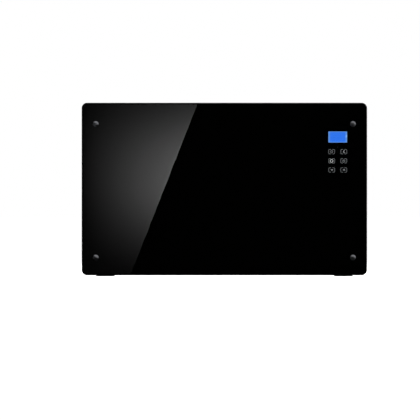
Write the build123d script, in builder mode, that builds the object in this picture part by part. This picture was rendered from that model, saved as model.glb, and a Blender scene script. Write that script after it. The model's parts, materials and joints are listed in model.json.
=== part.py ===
from build123d import *
from math import cos, hypot, radians, sin, sqrt
import os

# An infrared panel heater: a black glass front on four pillars, a heating film bonded behind it,
# a shallow steel casing with the electrics, and two flat feet. Millimetres. X is the width,
# Y runs from the front to the back, and Z is the height above the floor.

# ---------------------------------------------------------------- driving dimensions

# front glass
glass_width = 800.0
glass_height = 483.6
glass_thickness = 5.0
glass_corner = 15.0
glass_arris = 0.8
glass_front = -32.0
print_thickness = 0.2

# corner fixings, measured in from the edges of the glass
cap_from_side = 39.5
cap_from_top = 59.5
cap_from_bottom = 49.7
cap_diameter = 16.0
cap_rim = 1.4
cap_height = 4.6
cap_screw_past_nut = 1.5
cap_screw_diameter = 5.0
glass_hole_diameter = 10.0
washer_diameter = 15.6
front_washer_thickness = 0.8
rear_washer_thickness = 1.0
pillar_diameter = 14.0
pillar_nut_across = 8.0
pillar_nut_thickness = 4.0

# heating layers behind the glass, front to back
film_thickness = 0.6
busbar_thickness = 0.4
busbar_width = 12.0
mica_thickness = 0.4
reflector_thickness = 0.8
blanket_thickness = 10.0
film_from_side = 55.0
film_from_casing = 20.0
edge_frame_wall = 1.2
edge_frame_play = 0.3
lead_hole_diameter = 6.0
cutout_diameter = 16.0
cutout_cup_depth = 4.0
cutout_body_step = 0.75
cutout_hole_play = 0.5
cutout_blade_length = 9.0
cutout_blade_apart = 8.0
cutout_above_middle = 65.0
cutouts_apart = 50.0
strap_thickness = 0.8
strap_length = 40.0
strap_width = 11.0
strap_window_width = 11.0
strap_window_height = 8.0

# casing
casing_beyond_cap = 16.0
casing_depth = 43.0
casing_corner = 14.0
chassis_thickness = 1.2
return_depth = 7.6
cover_wall = 1.0
cover_slope = 16.0
cover_rear_corner = 5.0
cover_bend = 4.0
cover_play = 0.3
panel_width = 540.0
panel_height = 136.0
panel_corner = 22.0
panel_rise = 3.0
panel_bend = 2.0
louvre_length = 52.0
louvre_rise = 11.0
louvre_height = 5.0
louvre_columns = 5
louvre_rows = 4
louvre_pitch_x = 62.0
louvre_pitch_z = 17.0
louvre_from_slope = 14.0
louvre_skin = 0.8
louvre_end_bend = 3.5
slot_length = 46.0
slot_width = 5.0
slot_pitch = 68.0
slot_behind_chassis = 16.4

# wall hanging
keyhole_spacing = 400.0
keyhole_from_top = 66.0
keyhole_head_diameter = 10.0
keyhole_neck_width = 5.2
keyhole_travel = 11.0
hanger_width = 44.0
hanger_height = 40.0
hanger_thickness = 2.0
hanger_corner = 4.0

# feet
foot_from_side = 66.0
foot_width = 50.0
foot_length = 200.0
foot_corner = 12.0
strip_thickness = 1.6
upright_thickness = 2.0
upright_above_screws = 14.0
gusset_thickness = 2.0
gusset_depth = 36.0
gusset_height = 58.0
glass_above_strip = 0.4
pad_diameter = 12.0
pad_proud = 0.4
pad_stem_diameter = 5.0
pad_from_end = 15.0
foot_screw_diameter = 5.0
foot_screw_apart = 28.0
foot_screw_above_slope = 20.0
foot_nut_width = 42.0
foot_nut_height = 14.0
foot_nut_thickness = 2.5
foot_nut_corner = 3.0
foot_screw_head_diameter = 9.5
foot_screw_head_height = 3.0
foot_screw_past_nut = 2.0
gusset_blunt = 5.0
pad_lip_height = 1.0
pad_lip_overhang = 0.8

# display, keys and their board, measured in from the right-hand and the top edge of the glass
control_from_side = 82.2
display_from_top = 95.9
display_window_width = 52.4
display_window_height = 30.8
display_window_corner = 1.0
receiver_below_display = 27.6
receiver_slot_width = 2.5
receiver_slot_height = 6.0
key_pitch_x = 33.9
key_pitch_z = 25.7
top_key_below_display = 41.0
key_rows = 3
pad_block_width = 13.0
pad_block_height = 10.0
pad_block_corner = 2.0
receiver_width = 6.0
receiver_height = 7.0
receiver_body_depth = 3.6
receiver_lens_radius = 2.2
receiver_lens_width = 4.0
cable_below_receiver = 22.0
display_cable_hole = 8.0
display_width = 60.0
display_height = 38.0
display_ledge = 3.5
display_thickness = 2.6
backlight_thickness = 3.5
backlight_corner = 1.0
backlight_lamp_reach = 2.0
board_thickness = 1.6
board_corner = 2.0
control_board_width = 70.0
control_board_above = 26.0
control_board_below = 14.0
tray_wall = 1.6
tray_play = 1.4
tray_corner = 4.0
film_to_tray = 8.0
board_screw_inset = 4.5
board_screw_diameter = 2.6

# power board and what stands on it
power_board_from_side = 240.0
power_board_below_middle = 60.0
power_board_width = 150.0
power_board_height = 100.0
power_standoff = 8.0
standoff_across = 6.0
right_exit_above_board = 18.0
board_screw_bite = 5.0
board_screw_past_chassis = 2.0
sheet_thickness = 0.4
sheet_margin = 6.0
terminal_ways = 5
terminal_pitch = 10.0
terminal_depth = 12.0
terminal_width = 14.0
terminal_well_diameter = 4.8
terminal_well_depth = 3.0
relay_width = 15.0
relay_height = 19.0
relay_depth = 16.0
relay_arris = 1.0
relay_from_middle = 20.0
relay_apart = 28.0
transformer_from_middle = -35.0
transformer_above_middle = 18.0
core_width = 30.0
core_height = 14.0
core_gap = 1.0
core_depth = 18.0
bobbin_width = 18.0
bobbin_height = 26.0
bobbin_corner = 3.0
bobbin_depth = 16.0
capacitor_from_middle = -50.0
capacitor_below_middle = 26.0
capacitor_radius = 6.0
capacitor_height = 20.0
capacitor_bead_depth = 0.6
capacitor_arris = 0.8
buzzer_from_middle = -5.0
buzzer_from_board_edge = 20.0
buzzer_diameter = 12.0
buzzer_height = 7.5
buzzer_hole_diameter = 2.4
buzzer_hole_depth = 2.0
fuse_diameter = 5.0
fuse_length = 20.0
fuse_clip_wall = 0.5
fuse_clip_length = 5.0
fuse_clip_mouth = 2.0
fuse_clip_foot = 3.0
fuse_from_middle = 42.0
fuse_above_board = 5.0
socket_width = 12.0
socket_height = 8.0
socket_depth = 8.0
socket_from_edge = 1.0
display_socket_from_middle = 5.0
probe_socket_from_middle = -30.0
wire_diameter = 2.5
signal_wire_diameter = 2.0
display_cable_diameter = 4.0
wire_bend = 8.0
signal_wire_bend = 5.0
wires_apart = 3.75
low_run_below_socket = 17.0
lead_from_board = 20.0
switch_lead_straight = 30.0
switch_lead_end = 40.0
display_cable_above_board = 40.0

# room temperature probe and its clip on the casing's floor
probe_from_film_edge = 90.0
probe_radius = 2.2
probe_length = 20.0
probe_below_clip_top = 4.0
probe_lead_rise = 28.0
probe_lead_end = 10.0
clip_length = 14.0
clip_depth = 10.0
clip_corner = 2.0
clip_height = 12.0
clip_mouth = 3.4

# mains switch in the right-hand wall
switch_below_middle = 60.0
switch_behind_chassis = 15.1
bezel_width = 15.0
bezel_height = 21.0
bezel_thickness = 2.0
bezel_corner = 1.5
bezel_arris = 0.6
switch_body_width = 12.7
switch_body_height = 19.0
switch_body_depth = 17.0
rocker_width = 9.8
rocker_reach = 8.0
rocker_tilt = 10.0
rocker_play = 0.35
rocker_above_pivot = 3.4
rocker_below_pivot = 2.4
rocker_face_half = 6.6
cavity_depth = 5.0
pivot_below_wall = 1.5
trunnion_diameter = 2.4
trunnion_length = 0.9
running_play = 0.05
blade_length = 8.0
blade_width = 6.3
blade_thickness = 0.8
blade_pitch = 7.0

# tip-over switch
tilt_from_side = 250.0
tilt_below_middle = 35.0
tilt_pivot_behind_chassis = 19.4
tilt_cheek_gap = 18.0
tilt_cheek_thickness = 2.0
tilt_pin_diameter = 3.0
tilt_arm_length = 20.0
tilt_weight_diameter = 12.0
tilt_weight_width = 13.0
tilt_boss_diameter = 8.0
tilt_boss_width = 6.0
tilt_arm_width = 5.0
tilt_base_thickness = 1.5
tilt_base_corner = 3.0
tilt_base_beyond = 8.0
tilt_cheek_beyond_pin = 6.0
tilt_cheek_below_pin = 7.0
tilt_pin_overhang = 0.6
microswitch_depth = 10.0
microswitch_height = 9.0
microswitch_rise = 13.0
lever_thickness = 0.4
lever_width = 4.0
lever_above_boss = 2.2
lever_overhang = 2.0

# cable gland
gland_from_side = 162.0
gland_above_slope = 18.0
gland_thread_diameter = 16.0
gland_bore_diameter = 10.0
gland_cable_diameter = 8.4
gland_across = 22.0
gland_flange = 3.0
gland_outer_length = 8.0
gland_inner_length = 9.0
gland_cap_wall = 2.5
gland_cap_end = 4.0
gland_seal_bore = 8.0
gland_cap_round = 3.5
gland_nut_thickness = 4.0

# small fasteners
cover_screw_diameter = 3.5
cover_screw_length = 7.0
cover_screw_behind_front = 4.2
cover_screw_head_diameter = 6.6
cover_screw_head_height = 2.0
cover_screw_from_corner = 75.0
small_head_diameter = 4.6
small_head_height = 1.6
screw_play = 0.1
stud_diameter = 4.0
stud_length = 14.0
stud_nut_across = 7.0
stud_nut_thickness = 3.2
stud_from_board = 55.0
stud_below_middle = 120.0
grommet_diameter = 11.0
grommet_groove = 9.0
grommet_lip = 1.2

# ---------------------------------------------------------------- places that follow from them

glass_back = glass_front + glass_thickness
glass_bottom = pad_proud + strip_thickness + glass_above_strip
glass_top = glass_bottom + glass_height
glass_mid = (glass_bottom + glass_top) / 2

cap_x = glass_width / 2 - cap_from_side
cap_high = glass_top - cap_from_top
cap_low = glass_bottom + cap_from_bottom
cap_places = [(x, z) for x in (-cap_x, cap_x) for z in (cap_low, cap_high)]

print_back = glass_back + print_thickness
film_back = print_back + film_thickness
busbar_back = film_back + busbar_thickness
mica_back = busbar_back + mica_thickness
reflector_back = mica_back + reflector_thickness
chassis_front = reflector_back + blanket_thickness
chassis_back = chassis_front + chassis_thickness

casing_right = cap_x + casing_beyond_cap
casing_width = 2 * casing_right
casing_bottom = cap_low - casing_beyond_cap
casing_top = cap_high + casing_beyond_cap
casing_height = casing_top - casing_bottom
casing_mid = (casing_bottom + casing_top) / 2
cover_back = chassis_front + casing_depth
slope_front = cover_back - cover_slope

control_x = glass_width / 2 - control_from_side
film_left = -(glass_width / 2 - film_from_side)
tray_width = control_board_width + 2 * (tray_wall + tray_play)
film_right = control_x - tray_width / 2 - film_to_tray
film_width = film_right - film_left
film_x = (film_left + film_right) / 2
film_height = casing_height - 2 * film_from_casing
busbar_xs = (film_left + busbar_width, film_right - busbar_width)

display_z = glass_top - display_from_top
receiver_z = display_z - receiver_below_display
key_zs = [display_z - top_key_below_display - row * key_pitch_z for row in range(key_rows)]
key_xs = [control_x - key_pitch_x / 2, control_x + key_pitch_x / 2]
control_board_top = display_z + control_board_above
control_board_bottom = key_zs[-1] - control_board_below
control_board_height = control_board_top - control_board_bottom
control_board_z = (control_board_top + control_board_bottom) / 2
control_board_front = print_back + display_thickness + backlight_thickness
control_board_back = control_board_front + board_thickness
control_screw_places = [
    (control_x + sx * (control_board_width / 2 - board_screw_inset),
     control_board_z + sz * (control_board_height / 2 - board_screw_inset))
    for sx in (-1, 1) for sz in (-1, 1)
]

power_board_x = glass_width / 2 - power_board_from_side
power_board_z = casing_mid - power_board_below_middle
power_board_front = chassis_back + power_standoff
power_board_back = power_board_front + board_thickness
power_board_right = power_board_x + power_board_width / 2
power_board_top = power_board_z + power_board_height / 2
power_screw_places = [
    (power_board_x + sx * (power_board_width / 2 - board_screw_inset),
     power_board_z + sz * (power_board_height / 2 - board_screw_inset))
    for sx in (-1, 1) for sz in (-1, 1)
]
wire_y = power_board_back + terminal_depth / 2
way_zs = [power_board_z + (way - (terminal_ways - 1) / 2) * terminal_pitch for way in range(terminal_ways)]

switch_y = chassis_front + switch_behind_chassis
switch_z = casing_mid - switch_below_middle
pivot_x = casing_right - pivot_below_wall

tilt_x = -(glass_width / 2 - tilt_from_side)
tilt_y = chassis_back + tilt_pivot_behind_chassis
tilt_z = casing_mid - tilt_below_middle

foot_x = glass_width / 2 - foot_from_side
foot_screw_z = casing_bottom + cover_slope + foot_screw_above_slope
gland_x = glass_width / 2 - gland_from_side
gland_z = casing_bottom + cover_slope + gland_above_slope

strip_top = pad_proud + strip_thickness

os.makedirs("parts", exist_ok=True)


# ---------------------------------------------------------------- helpers

def at_depth(y):
    """A sketch plane that faces the front: its x is the width and its y is the height."""
    return Plane.XZ.offset(-y)


def facing_back(y):
    """A sketch plane that faces the back: its x runs against the width, its y is the height."""
    return Plane(origin=(0, y, 0), x_dir=(-1, 0, 0), z_dir=(0, 1, 0))


def profile_plane(x, y, z):
    """A plane for turned profiles: its x is the radius and its y runs towards the back."""
    return Plane(origin=(x, y, z), x_dir=(1, 0, 0), z_dir=(0, 0, 1))


def depth_axis(x, z):
    """The axis that runs from front to back through one point of the width and height."""
    return Axis((x, 0, z), (0, 1, 0))


def keep(piece, node):
    """Label a finished piece and write it to its own file."""
    piece.part.label = node
    export_step(piece.part, f"parts/{node}.step")


def pan_screw(seat, diameter, length, head_diameter, head_height):
    """One screw: its head stands on the seat plane and its shank goes down through it."""
    with BuildPart() as screw:
        with BuildSketch(seat):
            Circle(head_diameter / 2)
        extrude(amount=head_height)
        chamfer(screw.edges().sort_by(Axis(seat.origin, seat.z_dir))[-1], head_height / 3)
        with BuildSketch(seat):
            Circle(diameter / 2)
        extrude(amount=-length)
    return screw.part


def round_wire(points, diameter, bend):
    """One round wire along straight runs joined by arcs."""
    with BuildPart() as wire:
        with BuildLine():
            route = FilletPolyline(*points, radius=bend)
        with BuildSketch(Plane(origin=route @ 0, z_dir=route % 0)):
            Circle(diameter / 2)
        sweep()
    return wire.part


# ---------------------------------------------------------------- front glass and its fixings

# Toughened glass with ground edges and a hole at each corner.
with BuildPart() as front_glass:
    with BuildSketch(at_depth(glass_back)):
        with Locations((0, glass_mid)):
            RectangleRounded(glass_width, glass_height, glass_corner)
        with Locations(*cap_places):
            Circle(glass_hole_diameter / 2, mode=Mode.SUBTRACT)
    extrude(amount=glass_thickness)
    broad_faces = front_glass.faces().filter_by(Axis.Y)
    chamfer([edge for face in broad_faces for edge in face.outer_wire().edges()], glass_arris)
keep(front_glass, "front_glass")

# Black ceramic print on the back of the glass, left clear over the display, the receiver and
# the corner washers.
with BuildPart() as glass_print:
    with BuildSketch(at_depth(print_back)):
        with Locations((0, glass_mid)):
            RectangleRounded(
                glass_width - 2 * glass_arris, glass_height - 2 * glass_arris, glass_corner - glass_arris
            )
        with Locations(*cap_places):
            Circle(washer_diameter / 2 + cover_play, mode=Mode.SUBTRACT)
        with Locations((control_x, display_z)):
            RectangleRounded(
                display_window_width, display_window_height, display_window_corner, mode=Mode.SUBTRACT
            )
        with Locations((control_x, receiver_z)):
            SlotOverall(receiver_slot_height, receiver_slot_width, rotation=90, mode=Mode.SUBTRACT)
    extrude(amount=print_thickness)
keep(glass_print, "glass_print")

screw_hole_diameter = cap_screw_diameter + 2 * screw_play

# Domed caps, each with the screw that goes back through the glass, pillar and chassis.
cap_base = glass_front - front_washer_thickness
cap_screw_end = chassis_back + pillar_nut_thickness + cap_screw_past_nut
dome_rise = cap_height - cap_rim
dome_radius = (dome_rise**2 + (cap_diameter / 2) ** 2) / (2 * dome_rise)
dome_mid_radius = cap_diameter / 3
dome_mid_drop = dome_radius - sqrt(dome_radius**2 - dome_mid_radius**2)
with BuildPart() as glass_caps:
    for x, z in cap_places:
        with BuildSketch(profile_plane(x, 0, z)):
            with BuildLine():
                dome_top = (0, cap_base - cap_height)
                dome_foot = (cap_diameter / 2, cap_base - cap_rim)
                dome_mid = (dome_mid_radius, cap_base - cap_height + dome_mid_drop)
                ThreePointArc(dome_top, dome_mid, dome_foot)
                Polyline(
                    dome_foot,
                    (cap_diameter / 2, cap_base),
                    (cap_screw_diameter / 2, cap_base),
                    (cap_screw_diameter / 2, cap_screw_end),
                    (0, cap_screw_end),
                    dome_top,
                )
            make_face()
        revolve(axis=depth_axis(x, z))
keep(glass_caps, "glass_caps")

# Shouldered nylon bushes: the shoulder keeps the cap off the glass, the sleeve lines its hole.
with BuildPart() as glass_bushes:
    for x, z in cap_places:
        with BuildSketch(profile_plane(x, 0, z)):
            with BuildLine():
                Polyline(
                    (screw_hole_diameter / 2, cap_base),
                    (washer_diameter / 2, cap_base),
                    (washer_diameter / 2, glass_front),
                    (glass_hole_diameter / 2 - screw_play, glass_front),
                    (glass_hole_diameter / 2 - screw_play, glass_back),
                    (screw_hole_diameter / 2, glass_back),
                    close=True,
                )
            make_face()
        revolve(axis=depth_axis(x, z))
keep(glass_bushes, "glass_bushes")


def corner_rings(y_front, y_back, outer_diameter, inner_diameter):
    """Four rings of one size, one round each corner screw."""
    with BuildPart() as rings:
        with BuildSketch(at_depth(y_back)):
            with Locations(*cap_places):
                Circle(outer_diameter / 2)
                Circle(inner_diameter / 2, mode=Mode.SUBTRACT)
        extrude(amount=y_back - y_front)
    return rings


rear_washer_back = glass_back + rear_washer_thickness
rear_washers = corner_rings(glass_back, rear_washer_back, washer_diameter, screw_hole_diameter)
keep(rear_washers, "rear_washers")
standoff_pillars = corner_rings(rear_washer_back, chassis_front, pillar_diameter, screw_hole_diameter)
keep(standoff_pillars, "standoff_pillars")

with BuildPart() as pillar_nuts:
    with BuildSketch(at_depth(chassis_back + pillar_nut_thickness)):
        with Locations(*cap_places):
            RegularPolygon(pillar_nut_across / 2, 6, major_radius=False)
            Circle(screw_hole_diameter / 2, mode=Mode.SUBTRACT)
    extrude(amount=pillar_nut_thickness)
keep(pillar_nuts, "pillar_nuts")

# ---------------------------------------------------------------- heating layers

lead_exit_zs = (power_board_z, power_board_top + right_exit_above_board)
lead_exits = list(zip(busbar_xs, lead_exit_zs))
cutout_places = [
    (film_x, casing_mid + cutout_above_middle + side * cutouts_apart / 2) for side in (-1, 1)
]
cutout_hole_diameter = cutout_diameter + 2 * cutout_hole_play


def heating_sheet(y_front, y_back, holes):
    """One full-size layer of the stack behind the glass, with its round holes."""
    with BuildPart() as sheet:
        with BuildSketch(at_depth(y_back)):
            with Locations((film_x, casing_mid)):
                Rectangle(film_width, film_height)
            for places, diameter in holes:
                with Locations(*places):
                    Circle(diameter / 2, mode=Mode.SUBTRACT)
        extrude(amount=y_back - y_front)
    return sheet


heating_film = heating_sheet(print_back, film_back, [])
keep(heating_film, "heating_film")

# Copper strips that feed the film along its two short sides.
with BuildPart() as busbars:
    with BuildSketch(at_depth(busbar_back)):
        with Locations(*[(x, casing_mid) for x in busbar_xs]):
            Rectangle(busbar_width, film_height - 2 * busbar_width)
    extrude(amount=busbar_thickness)
keep(busbars, "busbars")

mica_sheet = heating_sheet(busbar_back, mica_back, [(lead_exits, lead_hole_diameter)])
keep(mica_sheet, "mica_sheet")
reflector_plate = heating_sheet(mica_back, reflector_back, [(lead_exits, lead_hole_diameter)])
keep(reflector_plate, "reflector_plate")
insulation_blanket = heating_sheet(
    reflector_back,
    chassis_front,
    [(lead_exits, lead_hole_diameter), (cutout_places, cutout_hole_diameter)],
)
keep(insulation_blanket, "insulation_blanket")

# Aluminium frame round the edge of the stack.
with BuildPart() as edge_frame:
    with BuildSketch(at_depth(chassis_front)):
        with Locations((film_x, casing_mid)):
            inner_width = film_width + 2 * edge_frame_play
            inner_height = film_height + 2 * edge_frame_play
            Rectangle(inner_width + 2 * edge_frame_wall, inner_height + 2 * edge_frame_wall)
            Rectangle(inner_width, inner_height, mode=Mode.SUBTRACT)
    extrude(amount=chassis_front - print_back)
keep(edge_frame, "edge_frame")

# Bimetal cut-outs: they touch the reflector, pass through the blanket and the chassis, and are
# held from behind by a strap.
cutout_body_diameter = cutout_diameter - 2 * cutout_body_step
with BuildPart() as thermal_cutouts:
    for x, z in cutout_places:
        with BuildSketch(at_depth(reflector_back + cutout_cup_depth)):
            with Locations((x, z)):
                Circle(cutout_diameter / 2)
        extrude(amount=cutout_cup_depth)
        with BuildSketch(at_depth(chassis_back)):
            with Locations((x, z)):
                Circle(cutout_body_diameter / 2)
        extrude(amount=chassis_back - reflector_back - cutout_cup_depth)
        with BuildSketch(at_depth(chassis_back + cutout_blade_length)):
            with Locations((x - cutout_blade_apart / 2, z), (x + cutout_blade_apart / 2, z)):
                Rectangle(blade_thickness, blade_width)
        extrude(amount=cutout_blade_length)
keep(thermal_cutouts, "thermal_cutouts")

with BuildPart() as cutout_straps:
    with BuildSketch(at_depth(chassis_back + strap_thickness)):
        for x, z in cutout_places:
            with Locations((x, z)):
                SlotOverall(strap_length, strap_width)
                Rectangle(strap_window_width, strap_window_height, mode=Mode.SUBTRACT)
    extrude(amount=strap_thickness)
keep(cutout_straps, "cutout_straps")

# ---------------------------------------------------------------- chassis plate

chassis_width = casing_width - 2 * (cover_wall + cover_play)
chassis_height = casing_height - 2 * (cover_wall + cover_play)
chassis_corner = casing_corner - cover_wall - cover_play
cover_screw_y = chassis_front + cover_screw_behind_front
top_screw_xs = (cover_screw_from_corner - casing_right, 0, casing_right - cover_screw_from_corner)
side_screw_zs = (casing_bottom + cover_screw_from_corner, casing_top - cover_screw_from_corner)
cover_screw_seats = [
    Plane(origin=(x, cover_screw_y, z), x_dir=(1, 0, 0), z_dir=(0, 0, up))
    for z, up in ((casing_bottom, -1), (casing_top, 1))
    for x in top_screw_xs
] + [
    Plane(origin=(side * casing_right, cover_screw_y, z), x_dir=(0, 1, 0), z_dir=(side, 0, 0))
    for side in (-1, 1)
    for z in side_screw_zs
]
earth_place = (power_board_right + stud_from_board, casing_mid - stud_below_middle)
display_cable_place = (control_x, receiver_z - cable_below_receiver)

with BuildPart() as chassis_plate:
    with BuildSketch(at_depth(chassis_front + return_depth)):
        with Locations((0, casing_mid)):
            RectangleRounded(chassis_width, chassis_height, chassis_corner)
    extrude(amount=return_depth)
    offset(
        amount=-chassis_thickness,
        openings=chassis_plate.faces().sort_by(Axis.Y)[-1],
        kind=Kind.INTERSECTION,
    )
    with BuildSketch(at_depth(chassis_back)):
        with Locations(*cap_places):
            Circle(screw_hole_diameter / 2)
        with Locations(*cutout_places):
            Circle(cutout_hole_diameter / 2)
        with Locations(*lead_exits):
            Circle(grommet_groove / 2)
        with Locations(*control_screw_places):
            Circle(board_screw_diameter / 2 + screw_play)
        with Locations(display_cable_place):
            Circle(display_cable_hole / 2)
        with Locations(earth_place):
            Circle(stud_diameter / 2 + screw_play)
    extrude(amount=chassis_thickness, mode=Mode.SUBTRACT)
    for seat in cover_screw_seats:
        with BuildSketch(seat):
            Circle(cover_screw_diameter / 2 + screw_play)
        extrude(amount=-cover_screw_length, mode=Mode.SUBTRACT)
keep(chassis_plate, "chassis_plate")

# Rubber grommets where the film's leads pass the chassis.
with BuildPart() as lead_grommets:
    for x, z in lead_exits:
        with BuildSketch(profile_plane(x, 0, z)):
            with BuildLine():
                Polyline(
                    (wire_diameter / 2 + screw_play, chassis_front),
                    (grommet_groove / 2 - screw_play, chassis_front),
                    (grommet_groove / 2 - screw_play, chassis_back),
                    (grommet_diameter / 2, chassis_back),
                    (grommet_groove / 2, chassis_back + grommet_lip),
                    (wire_diameter / 2 + screw_play, chassis_back + grommet_lip),
                    close=True,
                )
            make_face()
        revolve(axis=depth_axis(x, z))
keep(lead_grommets, "lead_grommets")

# Earth stud with its nut, on the back of the chassis.
with BuildPart() as earth_stud:
    with BuildSketch(at_depth(chassis_back + stud_length)):
        with Locations(earth_place):
            Circle(stud_diameter / 2)
    extrude(amount=stud_length + chassis_thickness)
    with BuildSketch(at_depth(chassis_back + stud_nut_thickness)):
        with Locations(earth_place):
            RegularPolygon(stud_nut_across / 2, 6, major_radius=False)
            Circle(stud_diameter / 2, mode=Mode.SUBTRACT)
    extrude(amount=stud_nut_thickness)
keep(earth_stud, "earth_stud")

# ---------------------------------------------------------------- display, keys and their board

# Two bonded glasses; the rear one sticks out below to carry the contacts.
with BuildPart() as display_module:
    with BuildSketch(at_depth(print_back + display_thickness)):
        with Locations((control_x, display_z)):
            Rectangle(display_width, display_height)
    extrude(amount=display_thickness / 2)
    with BuildSketch(at_depth(print_back + display_thickness / 2)):
        with Locations((control_x, display_z + display_ledge / 2)):
            Rectangle(display_width, display_height - display_ledge)
    extrude(amount=display_thickness / 2)
keep(display_module, "display_module")

# Clear light guide with a shallow lamp block on its right-hand side.
with BuildPart() as display_backlight:
    with BuildSketch(at_depth(control_board_front)):
        with Locations((control_x, display_z)):
            RectangleRounded(display_width, display_height, backlight_corner)
        with Locations((control_x + display_width / 2, display_z)):
            Rectangle(2 * backlight_lamp_reach, display_height / 2)
    extrude(amount=backlight_thickness)
keep(display_backlight, "display_backlight")

with BuildPart() as control_board:
    with BuildSketch(at_depth(control_board_back)):
        with Locations((control_x, control_board_z)):
            RectangleRounded(control_board_width, control_board_height, board_corner)
        with Locations(*control_screw_places):
            Circle(board_screw_diameter / 2 + screw_play, mode=Mode.SUBTRACT)
    extrude(amount=board_thickness)
keep(control_board, "control_board")

# Conducting foam blocks that join each key's field on the board to the back of the glass.
with BuildPart() as touch_pads:
    with BuildSketch(at_depth(control_board_front)):
        with Locations(*[(x, z) for x in key_xs for z in key_zs]):
            RectangleRounded(pad_block_width, pad_block_height, pad_block_corner)
    extrude(amount=control_board_front - print_back)
keep(touch_pads, "touch_pads")

# Infrared receiver: a small block with a half-round lens towards the slot in the print.
with BuildPart() as infrared_receiver:
    with BuildSketch(at_depth(control_board_front)):
        with Locations((control_x, receiver_z)):
            Rectangle(receiver_width, receiver_height)
    extrude(amount=receiver_body_depth)
    with BuildSketch(Plane.YZ.offset(control_x - receiver_lens_width / 2)):
        with Locations((control_board_front - receiver_body_depth, receiver_z)):
            Circle(receiver_lens_radius)
    extrude(amount=receiver_lens_width)
keep(infrared_receiver, "infrared_receiver")

# Moulded tray that holds the board against the glass.
tray_height = control_board_height + 2 * (tray_wall + tray_play)
tray_floor_front = chassis_front - tray_wall
with BuildPart() as control_tray:
    with BuildSketch(at_depth(chassis_front)):
        with Locations((control_x, control_board_z)):
            RectangleRounded(tray_width, tray_height, tray_corner)
    extrude(amount=chassis_front - print_back)
    with BuildSketch(at_depth(tray_floor_front)):
        with Locations((control_x, control_board_z)):
            RectangleRounded(
                tray_width - 2 * tray_wall, tray_height - 2 * tray_wall, tray_corner - tray_wall
            )
    extrude(amount=tray_floor_front - print_back, mode=Mode.SUBTRACT)
    with BuildSketch(at_depth(tray_floor_front)):
        with Locations(*control_screw_places):
            Circle(board_screw_inset - screw_play)
    extrude(amount=tray_floor_front - control_board_back)
    with BuildSketch(at_depth(chassis_front)):
        with Locations(*control_screw_places):
            Circle(board_screw_diameter / 2 + screw_play)
        with Locations(display_cable_place):
            Circle(display_cable_hole / 2)
    extrude(amount=chassis_front - control_board_back, mode=Mode.SUBTRACT)
keep(control_tray, "control_tray")


# ---------------------------------------------------------------- power board

with BuildPart() as insulating_sheet:
    with BuildSketch(at_depth(chassis_back + sheet_thickness)):
        with Locations((power_board_x, power_board_z)):
            Rectangle(power_board_width + 2 * sheet_margin, power_board_height + 2 * sheet_margin)
        with Locations(*power_screw_places):
            Circle(board_screw_inset, mode=Mode.SUBTRACT)
    extrude(amount=sheet_thickness)
keep(insulating_sheet, "insulating_sheet")

with BuildPart() as board_standoffs:
    with BuildSketch(at_depth(power_board_front)):
        with Locations(*power_screw_places):
            RegularPolygon(standoff_across / 2, 6, major_radius=False)
            Circle(board_screw_diameter / 2 + screw_play, mode=Mode.SUBTRACT)
    extrude(amount=power_standoff)
keep(board_standoffs, "board_standoffs")

with BuildPart() as power_board:
    with BuildSketch(at_depth(power_board_back)):
        with Locations((power_board_x, power_board_z)):
            RectangleRounded(power_board_width, power_board_height, board_corner)
        with Locations(*power_screw_places):
            Circle(board_screw_diameter / 2 + screw_play, mode=Mode.SUBTRACT)
    extrude(amount=board_thickness)
keep(power_board, "power_board")

# One kind of small screw holds both boards: from the front through the tray into the chassis,
# and from the back into the stand-offs.
with BuildPart() as board_screws:
    for x, z in control_screw_places:
        seat = Plane(origin=(x, control_board_front, z), x_dir=(1, 0, 0), z_dir=(0, -1, 0))
        reach = chassis_back - control_board_front + board_screw_past_chassis
        add(pan_screw(seat, board_screw_diameter, reach, small_head_diameter, small_head_height))
    for x, z in power_screw_places:
        seat = Plane(origin=(x, power_board_back, z), x_dir=(1, 0, 0), z_dir=(0, 1, 0))
        reach = board_thickness + board_screw_bite
        add(pan_screw(seat, board_screw_diameter, reach, small_head_diameter, small_head_height))
keep(board_screws, "board_screws")

# Screw terminals: a wire hole in the side and a screw hole in the back for each way.
terminal_x = power_board_right - terminal_width / 2
with BuildPart() as terminal_block:
    with BuildSketch(at_depth(power_board_back + terminal_depth)):
        with Locations((terminal_x, power_board_z)):
            Rectangle(terminal_width, terminal_ways * terminal_pitch)
    extrude(amount=terminal_depth)
    with BuildSketch(at_depth(power_board_back + terminal_depth)):
        with Locations(*[(terminal_x, z) for z in way_zs]):
            Circle(terminal_well_diameter / 2)
    extrude(amount=terminal_well_depth, mode=Mode.SUBTRACT)
    with BuildSketch(Plane.YZ.offset(terminal_x)):
        with Locations(*[(wire_y, z) for z in way_zs]):
            Circle(wire_diameter / 2 + screw_play)
    extrude(amount=terminal_width / 2, mode=Mode.SUBTRACT)
keep(terminal_block, "terminal_block")

relay_x = power_board_x + relay_from_middle
relay_zs = (power_board_z - relay_apart / 2, power_board_z + relay_apart / 2)
with BuildPart() as relays:
    with BuildSketch(at_depth(power_board_back + relay_depth)):
        with Locations(*[(relay_x, z) for z in relay_zs]):
            Rectangle(relay_width, relay_height)
    extrude(amount=relay_depth)
    chamfer(relays.faces().sort_by(Axis.Y)[-len(relay_zs) :].edges(), relay_arris)
keep(relays, "relays")

# Small mains transformer: an iron core with the bobbin through its middle.
transformer_place = (
    power_board_x + transformer_from_middle,
    power_board_z + transformer_above_middle,
)
with BuildPart() as transformer:
    with BuildSketch(at_depth(power_board_back + core_gap + core_depth)):
        with Locations(transformer_place):
            Rectangle(core_width, core_height)
    extrude(amount=core_depth)
    with BuildSketch(at_depth(power_board_back + bobbin_depth)):
        with Locations(transformer_place):
            RectangleRounded(bobbin_width, bobbin_height, bobbin_corner)
    extrude(amount=bobbin_depth)
keep(transformer, "transformer")

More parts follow.
